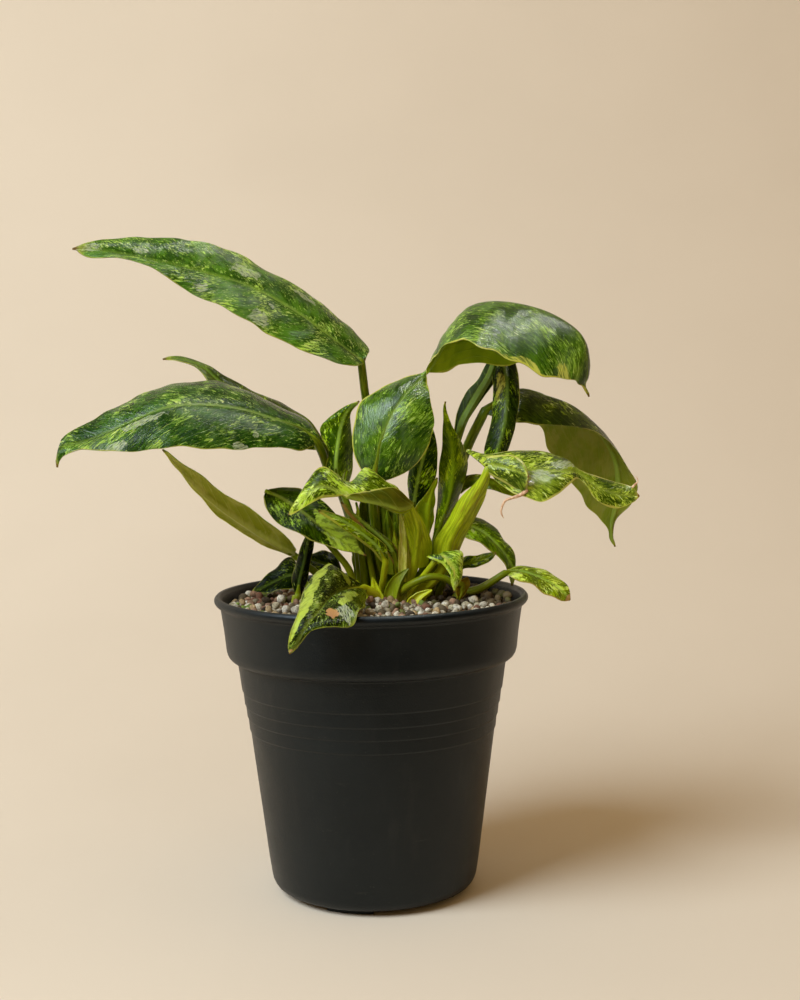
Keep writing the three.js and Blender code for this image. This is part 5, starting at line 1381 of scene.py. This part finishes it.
def spread_grains(draw):
    """Places for the grains of the top layer, pushed apart until they lie evenly"""
    reach = GRIT_RADIUS - GRAIN_RADIUS
    radius = reach * np.sqrt(draw.uniform(0, 1, GRAIN_COUNT))
    angle = draw.uniform(0, 2 * np.pi, GRAIN_COUNT)
    places = np.stack([radius * np.cos(angle), radius * np.sin(angle)], -1)
    stalks = stalk_places()
    for _ in range(SPREAD_ROUNDS):
        apart = places[:, None] - places[None]
        span = np.linalg.norm(apart, axis=-1) + np.eye(len(places)) * 99
        push = np.clip(GRAIN_GAP * GRAIN_RADIUS - span, 0, None) / span
        places = places + SPREAD_SHARE * (apart * push[..., None]).sum(axis=1)
        off = places[:, None] - stalks[None, :, :2]
        away = np.linalg.norm(off, axis=-1)
        room = np.clip(stalks[None, :, 2] + STALK_ROOM * GRAIN_RADIUS - away, 0, None) / np.maximum(away, 0.1)
        places = places + (off * room[..., None]).sum(axis=1)
        length = np.linalg.norm(places, axis=1, keepdims=True)
        places = places * np.minimum(1.0, reach / np.maximum(length, 1e-6))
    return places


def make_grit():
    draw = np.random.default_rng(GRIT_SEED)
    ball, faces = grain_ball()
    flat = [[(0.0, 0.0)] * 4] * len(faces)
    low = spread_grains(draw)
    picks = draw.choice(len(low), TOP_GRAINS, replace=False)
    high = low[picks] + draw.normal(0, TOP_STRAY, (TOP_GRAINS, 2))
    length = np.linalg.norm(high, axis=1, keepdims=True)
    high = high * np.minimum(1.0, (GRIT_RADIUS - EDGE_ROOM) / length)
    low_heights = draw.normal(GRIT_TOP + LAYER_RISE, LAYER_SCATTER, len(low))
    high_heights = draw.normal(GRIT_TOP + TOP_RISE, TOP_SCATTER, len(high))
    heights = np.concatenate([low_heights, high_heights])
    places = np.concatenate([low, high])
    flat_places = np.column_stack([places, np.zeros(len(places))])
    heights += SWELL_HEIGHT * ripple(flat_places, SWELL_LENGTH, SWELL_SEED)
    shapes = [Shape(), Shape(), Shape()]
    shares = np.cumsum([share for share, _, _ in GRAIN_COLOURS])
    for (x, y), z in zip(places, heights):
        _, group, tint = GRAIN_COLOURS[int(np.searchsorted(shares, draw.uniform(0, shares[-1] - 1e-9)))]
        # Grains on the right become dark crumbs: partly litter and partly painted shade
        litter_and_shade = draw.uniform() < LITTER_AND_SHADE_SHARE
        litter_and_shade = litter_and_shade and x + draw.normal(0, LITTER_AND_SHADE_STRAY) > LITTER_AND_SHADE_FROM[0]
        if litter_and_shade and y + draw.normal(0, LITTER_AND_SHADE_STRAY) > LITTER_AND_SHADE_FROM[1]:
            group, tint = DARK_GRAIN, LITTER_AND_SHADE_COLOURS[int(draw.integers(len(LITTER_AND_SHADE_COLOURS)))]
        size = GRAIN_RADIUS * math.exp(draw.normal(0, GRAIN_SPREAD))
        size = min(max(size, SMALLEST_GRAIN), LARGEST_GRAIN)
        axes = np.array([1.0, draw.uniform(0.78, 0.98), draw.uniform(0.62, 0.9)])
        turned = np.linalg.qr(draw.normal(size=(3, 3)))[0]
        lumps = 1 + 0.09 * ripple(ball, 1.7, int(draw.integers(1 << 30)), 5)
        lumps += 0.05 * ripple(ball, 0.8, int(draw.integers(1 << 30)), 5)
        points = (ball * lumps[:, None] * axes) @ turned.T * size + (x, y, z)
        shade = draw.uniform(0.8, 1.15)
        tints = np.tile([*(c * shade for c in paint(*tint)), 1.0], (len(points), 1))
        shapes[group].add(points, faces, [0] * len(faces), flat, flat, tints)
    for shape, name, porous in zip(shapes, ("grit_pale", "grit_brown", "grit_dark"), (1.0, 0.8, 0.5)):
        piece = shape.build(name, [pebble_skin(name, porous)], 180.0)
        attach(piece, "root")
        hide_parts("grit")


def make_grit_bed():
    """The dark crumbs between and under the grains, as one lumpy disc"""
    points = [(0.0, 0.0)]
    for i in range(1, BED_RINGS + 1):
        radius = GRIT_RADIUS * i / BED_RINGS
        points += [(radius * math.cos(a), radius * math.sin(a)) for a in turns(BED_SIDES)]
    top = np.column_stack([np.array(points), np.full(len(points), GRIT_TOP - BED_SINK)])
    top[:, 2] += 0.5 * ripple(top, 3.0, 31) + 0.3 * ripple(top, 1.6, 32)
    low = top.copy()
    low[:, :2] *= BED_TAPER
    low[:, 2] = SOIL_TOP + 0.4
    count = len(top)
    edge = 1 + (BED_RINGS - 1) * BED_SIDES
    around = [(j, (j + 1) % BED_SIDES) for j in range(BED_SIDES)]
    faces = [(0, 1 + j, 1 + k) for j, k in around]
    for a in range(1, edge, BED_SIDES):
        faces += [(a + j, a + BED_SIDES + j, a + BED_SIDES + k, a + k) for j, k in around]
    below = [tuple(c + count for c in face[::-1]) for face in faces]
    side = [(edge + j, edge + count + j, edge + count + k, edge + k) for j, k in around]
    piece = new_piece("grit_bed", np.vstack([top, low]), faces + below + side, [bed_skin()], 60)
    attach(piece, "root")
    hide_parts("grit")


make_grit()
make_grit_bed()

# Sheaths that clasp the stalks: their skin, points from foot to tip and half widths along them
SHEATHS = [
    ("cream", [(14, -3, 129), (14.5, -3, 138), (14.6, -3, 146.4), (13.9, -3, 152.7), (12.3, -3, 158)],
     (2.4, 2.9, 2.6, 1.8, 0.3)),
    ("lime", [(12.1, 0, 131), (10.9, 0, 142.8), (9.7, 0, 150)], (1.7, 1.9, 0.2)),
    ("green", [(9.3, 6, 131), (8.1, 6, 147.6), (7, 6, 158)], (3.5, 2.9, 0.2)),
    ("lime", [(-8.7, 8, 147.7), (-6.1, 8, 154.8), (-5.2, 8, 159.5)], (2.1, 1.7, 0.2)),
    ("olive", [(9.5, -4.5, 117), (10.5, -5, 124), (12.5, -5, 130), (15.5, -4.5, 134.5)],
     (4.6, 5.0, 3.4, 0.4)),
    ("lime", [(2.5, -4, 117), (2.0, -4.5, 122), (1.0, -4, 127), (0.5, -3, 131)], (3.4, 3.0, 1.8, 0.3)),
    ("lime", [(-4, -3, 117), (-5, -4, 124), (-6.5, -4, 130)], (3.4, 3.2, 0.6)),
    ("lime", [(17, -6, 117), (20, -7, 122), (25, -8, 126)], (3.6, 3.4, 0.8)),
    ("dark", [(0.7, 22, 117), (-0.9, 22, 133), (-3.3, 22, 148.3), (-4, 22, 161)], (3.3, 4.2, 4.2, 2.5)),
    ("olive", [(6.3, 20, 117), (5.6, 20, 133), (4.5, 20, 148.4), (3.8, 20, 161)], (3.3, 4.2, 4.2, 2.5)),
    ("dark", [(3, 24, 117), (4, 25, 135), (6, 25, 152), (7, 25, 164)], (5.5, 6.8, 6.4, 2.6)),
    ("olive", [(12, 22, 117), (12.5, 23, 135), (13, 23, 150), (13.5, 23, 160)], (5.0, 6.0, 5.0, 1.6)),
    ("dark", [(-4.1, 26, 117), (-5.7, 26, 127), (-8.2, 26, 136.6)], (2.9, 2.9, 1.2)),
    ("dark", [(12.7, 17, 117), (13.3, 17, 135.7), (12.6, 17, 153)], (3.3, 3.8, 2.5)),
    ("olive", [(18.4, 10, 117), (19, 10.5, 128), (19.5, 11, 138)], (3.6, 4.0, 1.4)),
    ("olive", [(20.4, 16, 117), (22.7, 16, 131), (24, 16, 140.4)], (3.3, 3.3, 0.8)),
    ("dark", [(25.5, 14, 117), (26.9, 14, 131.5), (28.2, 14, 141.8)], (2.5, 2.9, 1.7)),
]
SHEATH_CUP = 0.45
SHEATH_GIRTH = 0.5
SHEATH_CURL = 0.25
CROWN_SEED = 90
SHEATH_SEED = 100
STEM_RINGS = 24
STEM_SIDES = 32


def add_sheath(shape, points, halves, slot, seed):
    """A thin scale whose hollow side faces the crown's middle"""
    spots = np.linspace(0, 1, 6)
    path = curve_through(points, spots)
    widths = sizes_at(spots, halves)[:, None]
    outward = path - np.array([*CROWN_CENTRE, 0.0])
    outward[:, 2] = 0.0
    outward = unit(outward)
    across = unit(np.cross(outward, unit(np.gradient(path, axis=0))))
    back = SHEATH_CUP * widths * outward
    rows = np.hstack([path - across * widths - back, path, path + across * widths - back])
    blade(shape, rows, seed, SHEATH_GIRTH, (slot,) * 3, detail=0.5, curl=SHEATH_CURL, ruffle=0.2)


def make_crown():
    """The buried stem, and the young rolled leaves and sheaths that rise from it"""
    tones = list(STALKS)
    green = tones.index("green")
    shape = Shape()
    spots = np.linspace(0, 1, STEM_RINGS)
    rise = CROWN_LOW + (CROWN_TOP - CROWN_LOW) * spots
    path = np.column_stack([CROWN_CENTRE[0] + 0 * spots, CROWN_CENTRE[1] + 0 * spots, rise])
    radii = CROWN_RADIUS * np.sqrt(np.clip(1 - (2 * spots - 0.9) ** 2 * 0.55, 0.05, 1))
    rod(shape, path, radii, green, CROWN_SEED, STEM_SIDES)
    for k, (points, girth) in enumerate(SPEARS):
        rod_through(shape, points, girth, 1.6, 12, green, CROWN_SEED + 1 + k, 14)
    for k, (tone, points, halves) in enumerate(SHEATHS):
        add_sheath(shape, points, halves, tones.index(tone), SHEATH_SEED + k)
    piece = shape.build("crown_living", [STALK_SKINS[tone] for tone in tones])
    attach(piece, "root")
    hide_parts("crown")


make_crown()

# The paper sweep: its edges to the side, in front and behind, and the bend up to its wall
PAPER_HALF = 3200
PAPER_FRONT = -2200
PAPER_NEAR = -200
PAPER_BACK = 50
PAPER_SIDE = 300
WALL_BACK = 1000
WALL_TOP = 2600
BEND_RADIUS = 900
BEND_STEPS = 16

# The light of the room around
AIR_COLOUR = (1.0, 0.667, 0.29, 1.0)
AIR_STRENGTH = 0.44


def lay_paper(name, line, left, right, seen_in_gloss):
    """Paper from left to right, along a line of depth and height"""
    points = [(x, y, z) for y, z in line for x in (left, right)]
    faces = [(i, i + 1, i + 3, i + 2) for i in range(0, len(points) - 2, 2)]
    paper = new_piece(name, points, faces, [STUDIO_PAPER], 180)
    paper.visible_glossy = seen_in_gloss


def make_studio():
    """A pale paper sweep: floor, a wide bend and a wall. Its front and right floor throw no sheen"""
    start = WALL_BACK - BEND_RADIUS
    line = [(PAPER_BACK, 0.0), (start, 0.0)]
    for k in range(1, BEND_STEPS + 1):
        angle = math.pi / 2 * k / BEND_STEPS
        line.append((start + BEND_RADIUS * math.sin(angle), BEND_RADIUS - BEND_RADIUS * math.cos(angle)))
    lay_paper("studio_sweep", line + [(WALL_BACK, WALL_TOP)], -PAPER_HALF, PAPER_HALF, True)
    strip = [(PAPER_NEAR, 0.0), (PAPER_BACK, 0.0)]
    lay_paper("studio_left", strip, -PAPER_HALF, PAPER_SIDE, True)
    lay_paper("studio_right", strip, PAPER_SIDE, PAPER_HALF, False)
    lay_paper("studio_front", [(PAPER_FRONT, 0.0), (PAPER_NEAR, 0.0)], -PAPER_HALF, PAPER_HALF, False)


def add_light(name, place, aim, size, power, colour):
    """A soft box: an ellipse of light. Its lengths are in metres and its power in watts"""
    data = bpy.data.lights.new(name, "AREA")
    data.shape, (data.size, data.size_y) = "ELLIPSE", size
    data.energy, data.color = power, colour
    light = bpy.data.objects.new(name, data)
    light.location = place
    direction = mathutils.Vector(aim) - mathutils.Vector(place)
    light.rotation_euler = direction.to_track_quat("-Z", "Y").to_euler()
    bpy.context.scene.collection.objects.link(light)
    return light


def make_lights():
    """The key light on the left, a small one above that only gives highlights, and a warm room"""
    add_light(
        "key", place=(-1.13, -0.85, 1.39), aim=(0.0, 0.0, 0.12), size=(1.15, 1.15), power=47.0,
        colour=(0.80, 0.91, 1.0),
    )
    glint = add_light(
        "glint", place=(0.42, -0.18, 2.1), aim=(0.05, -0.02, 0.2), size=(0.40, 0.30), power=28.0,
        colour=(1.0, 1.0, 0.92),
    )
    glint.visible_diffuse = False
    world = bpy.data.worlds.new("studio_air")
    world.use_nodes = True
    background = world.node_tree.nodes["Background"]
    background.inputs["Color"].default_value = AIR_COLOUR
    background.inputs["Strength"].default_value = AIR_STRENGTH
    bpy.context.scene.world = world
    world.cycles_visibility.glossy = False


def make_camera():
    data = bpy.data.cameras.new("camera")
    data.lens, data.sensor_width, data.sensor_fit = CAMERA_LENS, CAMERA_SENSOR, "AUTO"
    data.clip_start, data.clip_end = 0.01, 20.0
    camera = bpy.data.objects.new("camera", data)
    level = math.cos(CAMERA_DOWN)
    ahead = mathutils.Vector((
        math.sin(CAMERA_TO_RIGHT) * level, math.cos(CAMERA_TO_RIGHT) * level, -math.sin(CAMERA_DOWN),
    ))
    flat_right = ahead.cross(mathutils.Vector((0, 0, 1))).normalized()
    flat_up = flat_right.cross(ahead)
    right = flat_right * math.cos(CAMERA_ROLL) + flat_up * math.sin(CAMERA_ROLL)
    up = flat_up * math.cos(CAMERA_ROLL) - flat_right * math.sin(CAMERA_ROLL)
    turn = mathutils.Matrix((right, up, -ahead)).transposed()
    camera.matrix_world = mathutils.Matrix.LocRotScale(mathutils.Vector(CAMERA_PLACE) * MM, turn, None)
    bpy.context.scene.collection.objects.link(camera)
    bpy.context.scene.camera = camera


STUDIO_PAPER = studio_paper()
make_studio()
make_lights()
make_camera()
bpy.context.scene.view_settings.view_transform = "Standard"
